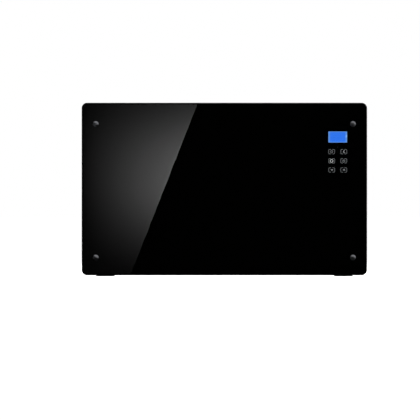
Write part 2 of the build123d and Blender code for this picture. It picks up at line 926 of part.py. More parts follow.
# Smoothing capacitor with the bead that its sleeve shrinks into.
capacitor_x = power_board_x + capacitor_from_middle
capacitor_z = power_board_z - capacitor_below_middle
bead = capacitor_bead_depth
with BuildPart() as capacitor:
    with BuildSketch(profile_plane(capacitor_x, power_board_back, capacitor_z)):
        with BuildLine():
            Polyline(
                (0, 0),
                (capacitor_radius, 0),
                (capacitor_radius, 3 * bead),
                (capacitor_radius - bead, 4 * bead),
                (capacitor_radius, 5 * bead),
                (capacitor_radius, capacitor_height - capacitor_arris),
                (capacitor_radius - capacitor_arris, capacitor_height),
                (0, capacitor_height),
                close=True,
            )
        make_face()
    revolve(axis=depth_axis(capacitor_x, capacitor_z))
keep(capacitor, "capacitor")

buzzer_place = (
    power_board_x + buzzer_from_middle,
    power_board_z - power_board_height / 2 + buzzer_from_board_edge,
)
with BuildPart() as buzzer:
    with BuildSketch(at_depth(power_board_back + buzzer_height)):
        with Locations(buzzer_place):
            Circle(buzzer_diameter / 2)
    extrude(amount=buzzer_height)
    with BuildSketch(at_depth(power_board_back + buzzer_height)):
        with Locations(buzzer_place):
            Circle(buzzer_hole_diameter / 2)
    extrude(amount=buzzer_hole_depth, mode=Mode.SUBTRACT)
keep(buzzer, "buzzer")

# Glass fuse in two sprung clips.
fuse_x = power_board_x + fuse_from_middle
fuse_y = power_board_back + fuse_above_board
fuse_ends = (power_board_z - fuse_length / 2, power_board_z + fuse_length / 2)
with BuildPart() as fuse:
    with BuildSketch(Plane(origin=(fuse_x, fuse_y, fuse_ends[0]), z_dir=(0, 0, 1))):
        Circle(fuse_diameter / 2)
    extrude(amount=fuse_length)
keep(fuse, "fuse")

clip_inner = fuse_diameter / 2 + running_play
clip_outer = clip_inner + fuse_clip_wall
with BuildPart() as fuse_clips:
    for z in (fuse_ends[0], fuse_ends[1] - fuse_clip_length):
        with BuildSketch(Plane(origin=(fuse_x, fuse_y, z), x_dir=(1, 0, 0), z_dir=(0, 0, 1))):
            Circle(clip_outer)
            with Locations((0, fuse_clip_mouth)):
                Rectangle(
                    2 * clip_outer, 2 * clip_outer, align=(Align.CENTER, Align.MIN), mode=Mode.SUBTRACT
                )
            with Locations((0, -fuse_above_board)):
                Rectangle(fuse_clip_foot, fuse_above_board, align=(Align.CENTER, Align.MIN))
            Circle(clip_inner, mode=Mode.SUBTRACT)
        extrude(amount=fuse_clip_length)
keep(fuse_clips, "fuse_clips")

# Plug sockets for the display cable and the probe, along the top and the bottom of the board.
display_socket_x = power_board_x + display_socket_from_middle
probe_socket_x = power_board_x + probe_socket_from_middle
socket_wire_y = power_board_back + socket_depth / 2
display_socket_z = power_board_top - socket_height / 2 - socket_from_edge
probe_socket_z = power_board_z - power_board_height / 2 + socket_height / 2 + socket_from_edge
with BuildPart() as board_sockets:
    with BuildSketch(at_depth(power_board_back + socket_depth)):
        with Locations((display_socket_x, display_socket_z), (probe_socket_x, probe_socket_z)):
            Rectangle(socket_width, socket_height)
    extrude(amount=socket_depth)
keep(board_sockets, "board_sockets")

# ---------------------------------------------------------------- tip-over switch

cheek_xs = [
    tilt_x - tilt_cheek_gap / 2 - tilt_cheek_thickness,
    tilt_x + tilt_cheek_gap / 2,
]
tilt_base_back = chassis_back + tilt_base_thickness
cheek_depth = tilt_y + tilt_cheek_beyond_pin - tilt_base_back
cheek_low = tilt_z - tilt_cheek_below_pin
cheek_high = tilt_z + microswitch_rise + microswitch_height / 2
with BuildPart() as tilt_bracket:
    with BuildSketch(at_depth(tilt_base_back)):
        with Locations((tilt_x, (cheek_low + cheek_high) / 2)):
            RectangleRounded(
                tilt_cheek_gap + 2 * tilt_cheek_thickness,
                cheek_high - cheek_low + 2 * tilt_base_beyond,
                tilt_base_corner,
            )
    extrude(amount=tilt_base_thickness)
    for x in cheek_xs:
        with BuildSketch(Plane.YZ.offset(x)):
            with Locations((tilt_base_back, cheek_low)):
                Rectangle(cheek_depth, cheek_high - cheek_low, align=(Align.MIN, Align.MIN))
            with Locations((tilt_y, tilt_z)):
                Circle(tilt_pin_diameter / 2 + running_play, mode=Mode.SUBTRACT)
        extrude(amount=tilt_cheek_thickness)
keep(tilt_bracket, "tilt_bracket")

pin_length = tilt_cheek_gap + 2 * (tilt_cheek_thickness + tilt_pin_overhang)
with BuildPart() as tilt_pin:
    with BuildSketch(Plane.YZ.offset(tilt_x - pin_length / 2)):
        with Locations((tilt_y, tilt_z)):
            Circle(tilt_pin_diameter / 2)
    extrude(amount=pin_length)
keep(tilt_pin, "tilt_pin")

# The weight hangs on the pin and swings when the heater leans.
with BuildPart() as tilt_weight:
    with BuildSketch(Plane.YZ.offset(tilt_x - tilt_boss_width / 2)):
        with Locations((tilt_y, tilt_z)):
            Circle(tilt_boss_diameter / 2)
            Rectangle(tilt_arm_width, tilt_arm_length, align=(Align.CENTER, Align.MAX))
    extrude(amount=tilt_boss_width)
    with BuildSketch(Plane.YZ.offset(tilt_x - tilt_weight_width / 2)):
        with Locations((tilt_y, tilt_z - tilt_arm_length)):
            Circle(tilt_weight_diameter / 2)
    extrude(amount=tilt_weight_width)
    with BuildSketch(Plane.YZ.offset(tilt_x - tilt_weight_width / 2)):
        with Locations((tilt_y, tilt_z)):
            Circle(tilt_pin_diameter / 2 + running_play)
    extrude(amount=tilt_weight_width, mode=Mode.SUBTRACT)
keep(tilt_weight, "tilt_weight")

# Microswitch between the cheeks, above the boss, with its lever below it.
microswitch_foot = tilt_z + microswitch_rise - microswitch_height / 2
lever_z = tilt_z + tilt_boss_diameter / 2 + lever_above_boss
with BuildPart() as tilt_microswitch:
    with BuildSketch(Plane.YZ.offset(tilt_x - tilt_cheek_gap / 2)):
        with Locations((tilt_y, tilt_z + microswitch_rise)):
            Rectangle(microswitch_depth, microswitch_height)
    extrude(amount=tilt_cheek_gap)
    with BuildSketch(Plane.YZ.offset(tilt_x - lever_width / 2)):
        with Locations((tilt_y - microswitch_depth / 2, microswitch_foot)):
            Rectangle(2 * lever_thickness, microswitch_foot - lever_z, align=(Align.MIN, Align.MAX))
        with Locations((tilt_y - microswitch_depth / 2, lever_z)):
            Rectangle(
                microswitch_depth + lever_overhang, lever_thickness, align=(Align.MIN, Align.MIN)
            )
    extrude(amount=lever_width)
keep(tilt_microswitch, "tilt_microswitch")

# ---------------------------------------------------------------- mains switch

bezel_face = casing_right + bezel_thickness
cavity_width = rocker_width + 2 * (rocker_play - running_play)
cavity_height = 2 * (rocker_reach + rocker_play)
with BuildPart() as switch_housing:
    with BuildSketch(Plane.YZ.offset(casing_right)):
        with Locations((switch_y, switch_z)):
            RectangleRounded(bezel_width, bezel_height, bezel_corner)
    extrude(amount=bezel_thickness)
    chamfer(switch_housing.faces().sort_by(Axis.X)[-1].edges(), bezel_arris)
    with BuildSketch(Plane.YZ.offset(casing_right)):
        with Locations((switch_y, switch_z)):
            Rectangle(switch_body_width, switch_body_height)
    extrude(amount=-switch_body_depth)
    with BuildSketch(Plane.YZ.offset(bezel_face)):
        with Locations((switch_y, switch_z)):
            Rectangle(cavity_width, cavity_height)
    extrude(amount=-(bezel_face - pivot_x + cavity_depth), mode=Mode.SUBTRACT)
    with BuildSketch(at_depth(switch_y + switch_body_width / 2)):
        with Locations((pivot_x, switch_z)):
            Circle(trunnion_diameter / 2 + running_play)
    extrude(amount=switch_body_width, mode=Mode.SUBTRACT)
keep(switch_housing, "switch_housing")

# The rocker at rest is pressed in at its top. Its two ends are round about the trunnions.
rocker_end_u = sqrt(rocker_reach**2 - rocker_face_half**2)
rocker_foot_v = sqrt(rocker_reach**2 - rocker_below_pivot**2)
rocker_plane = Plane(
    origin=(pivot_x, switch_y - rocker_width / 2, switch_z),
    x_dir=(cos(radians(rocker_tilt)), 0, sin(radians(rocker_tilt))),
    z_dir=(0, 1, 0),
)
with BuildPart() as switch_rocker:
    with BuildSketch(rocker_plane):
        with BuildLine():
            Polyline(
                (rocker_end_u, -rocker_face_half),
                (rocker_above_pivot, 0),
                (rocker_end_u, rocker_face_half),
            )
            ThreePointArc(
                (rocker_end_u, rocker_face_half),
                (0, rocker_reach),
                (-rocker_below_pivot, rocker_foot_v),
            )
            Line((-rocker_below_pivot, rocker_foot_v), (-rocker_below_pivot, -rocker_foot_v))
            ThreePointArc(
                (-rocker_below_pivot, -rocker_foot_v),
                (0, -rocker_reach),
                (rocker_end_u, -rocker_face_half),
            )
        make_face()
    extrude(amount=rocker_width)
    with BuildSketch(rocker_plane.offset(-trunnion_length)):
        Circle(trunnion_diameter / 2)
    extrude(amount=rocker_width + 2 * trunnion_length)
keep(switch_rocker, "switch_rocker")

switch_body_end = casing_right - switch_body_depth
blade_end = switch_body_end - blade_length
with BuildPart() as switch_blades:
    with BuildSketch(Plane.YZ.offset(switch_body_end)):
        with Locations(*[(switch_y, switch_z + step * blade_pitch) for step in (-1, 0, 1)]):
            Rectangle(blade_width, blade_thickness)
    extrude(amount=-blade_length)
keep(switch_blades, "switch_blades")

# ---------------------------------------------------------------- rear cover

def tray_form(skin):
    """The cover's solid form, inset by a skin: straight walls, a sloped edge and a raised panel."""
    slope_start = slope_front - (sqrt(2) - 1) * skin
    back = cover_back - skin
    inset = back - slope_start
    width = casing_width - 2 * skin
    height = casing_height - 2 * skin
    with BuildPart() as form:
        with BuildSketch(facing_back(chassis_front)):
            with Locations((0, casing_mid)):
                RectangleRounded(width, height, casing_corner - skin)
        extrude(amount=slope_start - chassis_front)
        with BuildSketch(facing_back(slope_start)):
            with Locations((0, casing_mid)):
                RectangleRounded(width, height, casing_corner - skin)
        with BuildSketch(facing_back(back)):
            with Locations((0, casing_mid)):
                RectangleRounded(width - 2 * inset, height - 2 * inset, cover_rear_corner)
        loft(ruled=True)
        rims = form.edges().group_by(Axis.Y)
        fillet(rims[-3] + rims[-1], cover_bend - skin)
        with BuildSketch(facing_back(back)):
            with Locations((0, casing_mid)):
                RectangleRounded(panel_width, panel_height, panel_corner)
        with BuildSketch(facing_back(back + panel_rise)):
            with Locations((0, casing_mid)):
                RectangleRounded(
                    panel_width - 2 * panel_rise, panel_height - 2 * panel_rise, panel_corner - panel_rise
                )
        loft(ruled=True)
        fillet(form.faces().sort_by(Axis.Y)[-1].edges(), panel_bend - skin)
    return form.part


louvre_xs = [(column - (louvre_columns - 1) / 2) * louvre_pitch_x for column in range(louvre_columns)]
louvre_low = casing_bottom + cover_slope + louvre_from_slope
louvre_high = casing_top - cover_slope - louvre_from_slope - louvre_rise
louvre_zs = [louvre_low + row * louvre_pitch_z for row in range(louvre_rows)] + [
    louvre_high - row * louvre_pitch_z for row in range(louvre_rows)
]
louvre_inner = 1 - louvre_skin * hypot(1 / louvre_height, 1 / louvre_rise)


def louvres(share, root, length, end_bend):
    """All the louvres, open below and round at their ends: their full form, or the hollow inside."""
    with BuildPart() as wedges:
        for x in louvre_xs:
            with BuildSketch(Plane.YZ.offset(x - length / 2)):
                for z in louvre_zs:
                    with BuildLine():
                        Polyline(
                            (cover_back - root, z),
                            (cover_back + share * louvre_height, z),
                            (cover_back, z + share * louvre_rise),
                            (cover_back - root, z + share * louvre_rise),
                            close=True,
                        )
                    make_face()
            extrude(amount=length)
        slanted = [edge for edge in wedges.edges() if abs(edge.tangent_at(0).Y * edge.tangent_at(0).Z) > 0]
        fillet(slanted, end_bend)
    return wedges.part


slot_y = chassis_front + slot_behind_chassis
slot_count = int((casing_width - 2 * casing_corner) // slot_pitch)
slot_xs = [(index - (slot_count - 1) / 2) * slot_pitch for index in range(slot_count)]
keyhole_z = casing_top - keyhole_from_top
keyhole_places = [(-keyhole_spacing / 2, keyhole_z), (keyhole_spacing / 2, keyhole_z)]
foot_screw_places = [
    (side * foot_x + step * foot_screw_apart / 2, foot_screw_z) for side in (-1, 1) for step in (-1, 1)
]


def keyholes(y_front, y_back):
    """The two keyholes as solids: a round entry and a narrower neck that rises from it."""
    with BuildPart() as holes:
        with BuildSketch(at_depth(y_back)):
            for x, z in keyhole_places:
                with Locations((x, z)):
                    Circle(keyhole_head_diameter / 2)
                with Locations((x, z + keyhole_travel / 2)):
                    Rectangle(keyhole_neck_width, keyhole_travel)
                with Locations((x, z + keyhole_travel)):
                    Circle(keyhole_neck_width / 2)
        extrude(amount=y_back - y_front)
    return holes.part


with BuildPart() as rear_cover:
    add(tray_form(0))
    add(louvres(1, cover_wall / 2, louvre_length, louvre_end_bend))
    add(tray_form(cover_wall), mode=Mode.SUBTRACT)
    hollow_length = louvre_length - 2 * louvre_skin
    hollow_bend = louvre_end_bend - louvre_skin
    add(louvres(louvre_inner, 2 * cover_wall, hollow_length, hollow_bend), mode=Mode.SUBTRACT)
    with BuildSketch(Plane.XY.offset(casing_top)):
        with Locations(*[(x, slot_y) for x in slot_xs]):
            SlotOverall(slot_length, slot_width)
    extrude(amount=-casing_height, mode=Mode.SUBTRACT)
    add(keyholes(cover_back - cover_wall, cover_back), mode=Mode.SUBTRACT)
    with BuildSketch(at_depth(cover_back)):
        with Locations(*foot_screw_places):
            Circle(foot_screw_diameter / 2 + screw_play)
        with Locations((gland_x, gland_z)):
            Circle(gland_thread_diameter / 2 + screw_play)
    extrude(amount=cover_wall, mode=Mode.SUBTRACT)
    with BuildSketch(Plane.YZ.offset(casing_right)):
        with Locations((switch_y, switch_z)):
            Rectangle(switch_body_width + 2 * screw_play, switch_body_height + 2 * screw_play)
    extrude(amount=-cover_wall, mode=Mode.SUBTRACT)
    for seat in cover_screw_seats:
        with BuildSketch(seat):
            Circle(cover_screw_diameter / 2 + screw_play)
        extrude(amount=-cover_wall, mode=Mode.SUBTRACT)
keep(rear_cover, "rear_cover")

# Steel plates inside the cover that carry the keyholes' load.
hanger_back = cover_back - cover_wall
hanger_front = hanger_back - hanger_thickness
with BuildPart() as hanger_plates:
    with BuildSketch(at_depth(hanger_back)):
        with Locations(*[(x, z + keyhole_travel / 2) for x, z in keyhole_places]):
            RectangleRounded(hanger_width, hanger_height, hanger_corner)
    extrude(amount=hanger_thickness)
    add(keyholes(hanger_front, hanger_back), mode=Mode.SUBTRACT)
keep(hanger_plates, "hanger_plates")

with BuildPart() as cover_screws:
    for seat in cover_screw_seats:
        add(
            pan_screw(
                seat,
                cover_screw_diameter,
                cover_screw_length,
                cover_screw_head_diameter,
                cover_screw_head_height,
            )
        )
keep(cover_screws, "cover_screws")

# ---------------------------------------------------------------- cable gland

gland_sleeve_back = cover_back + gland_flange + gland_outer_length
with BuildPart() as cable_gland:
    with BuildSketch(at_depth(cover_back + gland_flange)):
        with Locations((gland_x, gland_z)):
            RegularPolygon(gland_across / 2, 6, major_radius=False)
    extrude(amount=gland_flange)
    with BuildSketch(at_depth(gland_sleeve_back)):
        with Locations((gland_x, gland_z)):
            Circle(gland_thread_diameter / 2)
    extrude(amount=gland_sleeve_back - cover_back + gland_inner_length)
    with BuildSketch(at_depth(gland_sleeve_back)):
        with Locations((gland_x, gland_z)):
            Circle(gland_bore_diameter / 2)
    extrude(amount=gland_sleeve_back - cover_back + gland_inner_length, mode=Mode.SUBTRACT)
keep(cable_gland, "cable_gland")

with BuildPart() as gland_seal:
    with BuildSketch(at_depth(gland_sleeve_back)):
        with Locations((gland_x, gland_z)):
            Circle(gland_bore_diameter / 2 - running_play)
            Circle(gland_seal_bore / 2, mode=Mode.SUBTRACT)
    extrude(amount=gland_outer_length)
keep(gland_seal, "gland_seal")

# Dome nut over the sleeve, with a rounded end that the cord passes through.
gland_cap_radius = gland_thread_diameter / 2 + gland_cap_wall
gland_cap_front = cover_back + gland_flange
gland_cap_back = gland_sleeve_back + gland_cap_end
with BuildPart() as gland_cap:
    with BuildSketch(at_depth(gland_cap_back)):
        with Locations((gland_x, gland_z)):
            Circle(gland_cap_radius)
    extrude(amount=gland_cap_back - gland_cap_front)
    fillet(gland_cap.faces().sort_by(Axis.Y)[-1].edges(), gland_cap_round)
    with BuildSketch(at_depth(gland_sleeve_back)):
        with Locations((gland_x, gland_z)):
            Circle(gland_thread_diameter / 2 + running_play)
    extrude(amount=gland_outer_length, mode=Mode.SUBTRACT)
    with BuildSketch(at_depth(gland_cap_back)):
        with Locations((gland_x, gland_z)):
            Circle(gland_cable_diameter / 2)
    extrude(amount=gland_cap_end, mode=Mode.SUBTRACT)
keep(gland_cap, "gland_cap")

with BuildPart() as gland_nut:
    with BuildSketch(at_depth(cover_back - cover_wall)):
        with Locations((gland_x, gland_z)):
            RegularPolygon(gland_across / 2, 6, major_radius=False)
            Circle(gland_thread_diameter / 2 + running_play, mode=Mode.SUBTRACT)
    extrude(amount=gland_nut_thickness)
keep(gland_nut, "gland_nut")

# ---------------------------------------------------------------- feet

upright_back = cover_back + upright_thickness
upright_top = foot_screw_z + upright_above_screws
pad_ys = [-(foot_length / 2 - pad_from_end), foot_length / 2 - pad_from_end]


def foot(x):
    """One steel foot: a flat strip, an upright behind the cover and a gusset between them."""
    with BuildPart() as made:
        with BuildSketch(Plane.XY.offset(pad_proud)):
            with Locations((x, 0)):
                RectangleRounded(foot_width, foot_length, foot_corner)
            with Locations(*[(x, y) for y in pad_ys]):
                Circle(pad_stem_diameter / 2 + screw_play, mode=Mode.SUBTRACT)
        extrude(amount=strip_thickness)
        with BuildSketch(at_depth(upright_back)) as upright:
            with Locations((x, strip_top)):
                Rectangle(foot_width, upright_top - strip_top, align=(Align.CENTER, Align.MIN))
            fillet(upright.vertices().group_by(Axis.Z)[-1], foot_corner)
            with Locations(*[place for place in foot_screw_places if place[0] * x > 0]):
                Circle(foot_screw_diameter / 2 + screw_play, mode=Mode.SUBTRACT)
        extrude(amount=upright_thickness)
        with BuildSketch(Plane.YZ.offset(x - gusset_thickness / 2)):
            with BuildLine():
                Polyline(
                    (upright_back, strip_top),
                    (upright_back + gusset_depth, strip_top),
                    (upright_back + gusset_depth, strip_top + gusset_blunt),
                    (upright_back + gusset_blunt, strip_top + gusset_height),
                    (upright_back, strip_top + gusset_height),
                    close=True,
                )
            make_face()
        extrude(amount=gusset_thickness)
    return made


keep(foot(-foot_x), "foot_left")
keep(foot(foot_x), "foot_right")

with BuildPart() as foot_nut_plates:
    with BuildSketch(at_depth(cover_back - cover_wall)):
        with Locations((-foot_x, foot_screw_z), (foot_x, foot_screw_z)):
            RectangleRounded(foot_nut_width, foot_nut_height, foot_nut_corner)
        with Locations(*foot_screw_places):
            Circle(foot_screw_diameter / 2 + running_play, mode=Mode.SUBTRACT)
    extrude(amount=foot_nut_thickness)
keep(foot_nut_plates, "foot_nut_plates")

foot_screw_length = upright_thickness + cover_wall + foot_nut_thickness + foot_screw_past_nut
with BuildPart() as foot_screws:
    for x, z in foot_screw_places:
        seat = Plane(origin=(x, upright_back, z), x_dir=(1, 0, 0), z_dir=(0, 1, 0))
        add(
            pan_screw(
                seat,
                foot_screw_diameter,
                foot_screw_length,
                foot_screw_head_diameter,
                foot_screw_head_height,
            )
        )
keep(foot_screws, "foot_screws")

# Push-in rubber pads: a flat head under the strip, a stem through it and a lip above.
with BuildPart() as foot_pads:
    for x in (-foot_x, foot_x):
        for y in pad_ys:
            with BuildSketch(Plane(origin=(x, y, 0), x_dir=(1, 0, 0), z_dir=(0, -1, 0))):
                with BuildLine():
                    Polyline(
                        (0, 0),
                        (pad_diameter / 2, 0),
                        (pad_diameter / 2, pad_proud),
                        (pad_stem_diameter / 2, pad_proud),
                        (pad_stem_diameter / 2, strip_top),
                        (pad_stem_diameter / 2 + pad_lip_overhang, strip_top),
                        (pad_stem_diameter / 2, strip_top + pad_lip_height),
                        (0, strip_top + pad_lip_height),
                        close=True,
                    )
                make_face()
            revolve(axis=Axis((x, y, 0), (0, 0, 1)))
keep(foot_pads, "foot_pads")

# ---------------------------------------------------------------- temperature probe


clip_floor = casing_bottom + cover_wall
probe_place = (
    film_left + probe_from_film_edge,
    slot_y,
    clip_floor + clip_height - probe_below_clip_top,
)
with BuildPart() as probe_clip:
    with BuildSketch(Plane.XY.offset(clip_floor)):
        with Locations((probe_place[0], probe_place[1])):
            RectangleRounded(clip_length, clip_depth, clip_corner)
    extrude(amount=clip_height)
    with BuildSketch(Plane.YZ.offset(probe_place[0] - clip_length / 2)):
        with Locations((probe_place[1], probe_place[2])):
            Circle(probe_radius + running_play)
            Rectangle(clip_mouth, probe_below_clip_top, align=(Align.CENTER, Align.MIN))
    extrude(amount=clip_length, mode=Mode.SUBTRACT)
keep(probe_clip, "probe_clip")

# The probe is moulded on its lead, which runs along the bottom of the casing, behind the
# element lead and up to its socket.
probe_pass_y = wire_y + (wire_diameter + signal_wire_diameter) / 2 + wires_apart
probe_socket_foot = probe_socket_z - socket_height / 2
probe_end = probe_place[0] + probe_length / 2
low_run_z = probe_socket_foot - low_run_below_socket
with BuildPart() as temperature_probe:
    with BuildSketch(Plane.YZ.offset(probe_place[0] - probe_length / 2)):
        with Locations((probe_place[1], probe_place[2])):
            Circle(probe_radius)
    extrude(amount=probe_length)
    chamfer(temperature_probe.edges().sort_by(Axis.X)[0], probe_radius / 2)
    add(
        round_wire(
            [
                (probe_end, probe_place[1], probe_place[2]),
                (probe_socket_x - 2 * probe_lead_rise, probe_place[1], probe_place[2]),
                (probe_socket_x, probe_pass_y, low_run_z - probe_lead_rise),
                (probe_socket_x, probe_pass_y, low_run_z + wire_diameter),
                (probe_socket_x, socket_wire_y, probe_socket_foot - probe_lead_end),
                (probe_socket_x, socket_wire_y, probe_socket_foot),
            ],
            signal_wire_diameter,
            signal_wire_bend,
        )
    )
keep(temperature_probe, "temperature_probe")

# ---------------------------------------------------------------- wiring

# Two leads from the film's strips to the outer ways of the terminal block, and two from the
# mains switch to the middle ways.
left_exit, right_exit = lead_exits
right_run_x = power_board_right + lead_from_board
with BuildPart() as power_leads:
    add(
        round_wire(
            [
                (left_exit[0], busbar_back, left_exit[1]),
                (left_exit[0], wire_y, left_exit[1]),
                (left_exit[0], wire_y, low_run_z),
                (right_run_x, wire_y, low_run_z),
                (right_run_x, wire_y, way_zs[0]),
                (power_board_right, wire_y, way_zs[0]),
            ],
            wire_diameter,
            wire_bend,
        )
    )
    add(
        round_wire(
            [
                (right_exit[0], busbar_back, right_exit[1]),
                (right_exit[0], wire_y, right_exit[1]),
                (right_exit[0], wire_y, way_zs[-1]),
                (power_board_right, wire_y, way_zs[-1]),
            ],
            wire_diameter,
            wire_bend,
        )
    )
    for step, way_z in ((0, way_zs[2]), (1, way_zs[3])):
        blade_z = switch_z + step * blade_pitch
        add(
            round_wire(
                [
                    (blade_end, switch_y, blade_z),
                    (blade_end - switch_lead_straight, switch_y, blade_z),
                    (power_board_right + switch_lead_end, wire_y, way_z),
                    (power_board_right, wire_y, way_z),
                ],
                wire_diameter,
                wire_bend,
            )
        )
keep(power_leads, "power_leads")

# Sheathed cable from the back of the control board to the power board.
with BuildPart() as display_cable:
    add(
        round_wire(
            [
                (display_cable_place[0], control_board_back, display_cable_place[1]),
                (display_cable_place[0], socket_wire_y, display_cable_place[1]),
                (display_cable_place[0], socket_wire_y, power_board_top + display_cable_above_board),
                (display_socket_x, socket_wire_y, power_board_top + display_cable_above_board),
                (display_socket_x, socket_wire_y, display_socket_z + socket_height / 2),
            ],
            display_cable_diameter,
            wire_bend,
        )
    )
keep(display_cable, "display_cable")
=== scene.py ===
import json
from math import atan2, cos, pi, radians, sin, tan

import bmesh
import bpy
from mathutils import Matrix, Vector


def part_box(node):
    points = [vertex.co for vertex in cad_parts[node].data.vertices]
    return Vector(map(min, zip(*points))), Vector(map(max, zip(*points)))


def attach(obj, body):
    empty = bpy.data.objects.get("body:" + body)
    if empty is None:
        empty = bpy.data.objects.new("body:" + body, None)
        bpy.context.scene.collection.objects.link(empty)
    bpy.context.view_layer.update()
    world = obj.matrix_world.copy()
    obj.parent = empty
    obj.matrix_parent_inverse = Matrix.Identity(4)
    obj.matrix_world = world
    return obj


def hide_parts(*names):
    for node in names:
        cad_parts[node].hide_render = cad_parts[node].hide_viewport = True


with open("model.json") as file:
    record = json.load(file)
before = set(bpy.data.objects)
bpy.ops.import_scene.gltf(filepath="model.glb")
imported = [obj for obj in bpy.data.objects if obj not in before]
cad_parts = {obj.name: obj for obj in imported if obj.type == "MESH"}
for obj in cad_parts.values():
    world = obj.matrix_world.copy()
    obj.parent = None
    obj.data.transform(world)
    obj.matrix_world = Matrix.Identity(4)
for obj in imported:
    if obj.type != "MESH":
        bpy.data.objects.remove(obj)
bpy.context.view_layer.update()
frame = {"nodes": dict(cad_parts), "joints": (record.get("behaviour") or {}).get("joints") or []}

# ---- front glass
# One sheet of toughened float glass, 5 mm thick, cut with round corners, drilled near each corner
# for its fixings, and ground and polished along every edge. Its back is bonded to the black print.

mm = 0.001


def deselect_all():
    bpy.ops.object.select_all(action="DESELECT")


def pick(piece):
    """Makes one piece the only selected and the active one."""
    deselect_all()
    piece.select_set(True)
    bpy.context.view_layer.objects.active = piece


def settle(piece):
    """Puts a piece's place, turn and size into its mesh, so that its object sits at the origin."""
    pick(piece)
    bpy.ops.object.transform_apply(location=True, rotation=True, scale=True)


def begin_edit(piece, kind="FACE"):
    """Opens one piece in edit mode, with all of its faces, edges or vertices selected."""
    pick(piece)
    bpy.ops.object.mode_set(mode="EDIT")
    bpy.ops.mesh.select_mode(type=kind)
    bpy.ops.mesh.select_all(action="SELECT")


def end_edit():
    bpy.ops.object.mode_set(mode="OBJECT")


def select_where(kind, wanted):
    """In edit mode, selects the parts of one kind for which wanted(middle, direction) is true.

    The direction is an edge's own, and otherwise the part's normal."""
    bpy.ops.mesh.select_mode(type=kind)
    bpy.ops.mesh.select_all(action="DESELECT")
    mesh = bmesh.from_edit_mesh(bpy.context.edit_object.data)
    for part in {"VERT": mesh.verts, "EDGE": mesh.edges, "FACE": mesh.faces}[kind]:
        spots = [part.co] if kind == "VERT" else [vertex.co for vertex in part.verts]
        middle = sum(spots, Vector()) / len(spots)
        direction = (spots[1] - spots[0]).normalized() if kind == "EDGE" else part.normal
        if wanted(middle, direction):
            part.select_set(True)
    bmesh.update_edit_mesh(bpy.context.edit_object.data)


def apply_modifier(piece, kind, **settings):
    """Adds one modifier with its settings to a piece and applies it."""
    pick(piece)
    bpy.ops.object.modifier_add(type=kind)
    modifier = piece.modifiers[-1]
    for name, value in settings.items():
        setattr(modifier, name, value)
    bpy.ops.object.modifier_apply(modifier=modifier.name)


def cut_away(piece, cutter):
    """Takes one piece's form out of another, and removes the cutter."""
    settle(cutter)
    apply_modifier(piece, "BOOLEAN", operation="DIFFERENCE", solver="EXACT", object=cutter)
    bpy.data.objects.remove(cutter)


def smooth(piece, degrees):
    """Shades a piece smooth, apart from its edges that are sharper than that."""
    pick(piece)
    bpy.ops.object.shade_smooth_by_angle(angle=radians(degrees))


def join(pieces, name):
    """Joins several pieces into one, and names it."""
    pick(pieces[0])
    for piece in pieces:
        piece.select_set(True)
    if len(pieces) > 1:
        bpy.ops.object.join()
    joined = bpy.context.view_layer.objects.active
    joined.name = joined.data.name = name
    return joined


def copies(pattern, places, name):
    """Copies a piece to each of several places, given as matrices, and joins the copies."""
    settle(pattern)
    made = []
    for place in places:
        copy = pattern.copy()
        copy.data = pattern.data.copy()
        bpy.context.scene.collection.objects.link(copy)
        copy.matrix_world = place
        settle(copy)
        made.append(copy)
    bpy.data.objects.remove(pattern)
    return join(made, name)


def linear(colour):
    """An sRGB hex colour such as #8090a0 as the linear values that shaders take."""
    shares = [int(colour[i : i + 2], 16) / 255 for i in (1, 3, 5)]
    return [s / 12.92 if s <= 0.04045 else ((s + 0.055) / 1.055) ** 2.4 for s in shares] + [1.0]


def add_node(tree, kind, inputs=None):
    """Adds a shader node, and sets or links its sockets, or its own settings, by name.

    A node given for a socket stands for the first of its outputs that is in use."""
    made = tree.nodes.new("ShaderNode" + kind)
    sockets = {socket.identifier: socket for socket in made.inputs}
    for name, value in (inputs or {}).items():
        if isinstance(value, bpy.types.Node):
            value = next(output for output in value.outputs if output.enabled)
        if isinstance(value, bpy.types.NodeSocket):
            tree.links.new(value, sockets[name])
        elif name in sockets:
            sockets[name].default_value = value
        else:
            setattr(made, name, value)
    return made


def empty_tree(owner):
    """The node tree of a material or a world, with nothing in it."""
    owner.use_nodes = True
    owner.node_tree.nodes.clear()
    return owner.node_tree


def new_material(name):
    """A material, its empty tree, and the object coordinates that its patterns are laid out on."""
    material = bpy.data.materials.new(name)
    tree = empty_tree(material)
    return material, tree, add_node(tree, "TexCoord").outputs["Object"]


def paint(piece, material):
    """Gives a new piece its finish."""
    piece.data.materials.clear()
    piece.data.materials.append(material)


def dress(material, *nodes):
    """Gives CAD nodes their finish."""
    for node in nodes:
        for slot in frame["nodes"][node].material_slots:
            slot.material = material


glass_low, glass_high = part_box("front_glass")
glass_middle = (glass_low + glass_high) / 2
glass_size = glass_high - glass_low
print_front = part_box("glass_print")[0].y
bond_depth = 0.05 * mm
glass_back = print_front + bond_depth
glass_corner = 15 * mm
glass_corner_steps = 14
glass_arris = 0.8 * mm
glass_hole_radius = 5 * mm
hole_sides = 64
cap_radius = 8.0 * mm
caps_low, caps_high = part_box("glass_caps")
cap_places = [
    Matrix.Translation((x, 0, z))
    for x in (caps_low.x + cap_radius, caps_high.x - cap_radius)
    for z in (caps_low.z + cap_radius, caps_high.z - cap_radius)
]

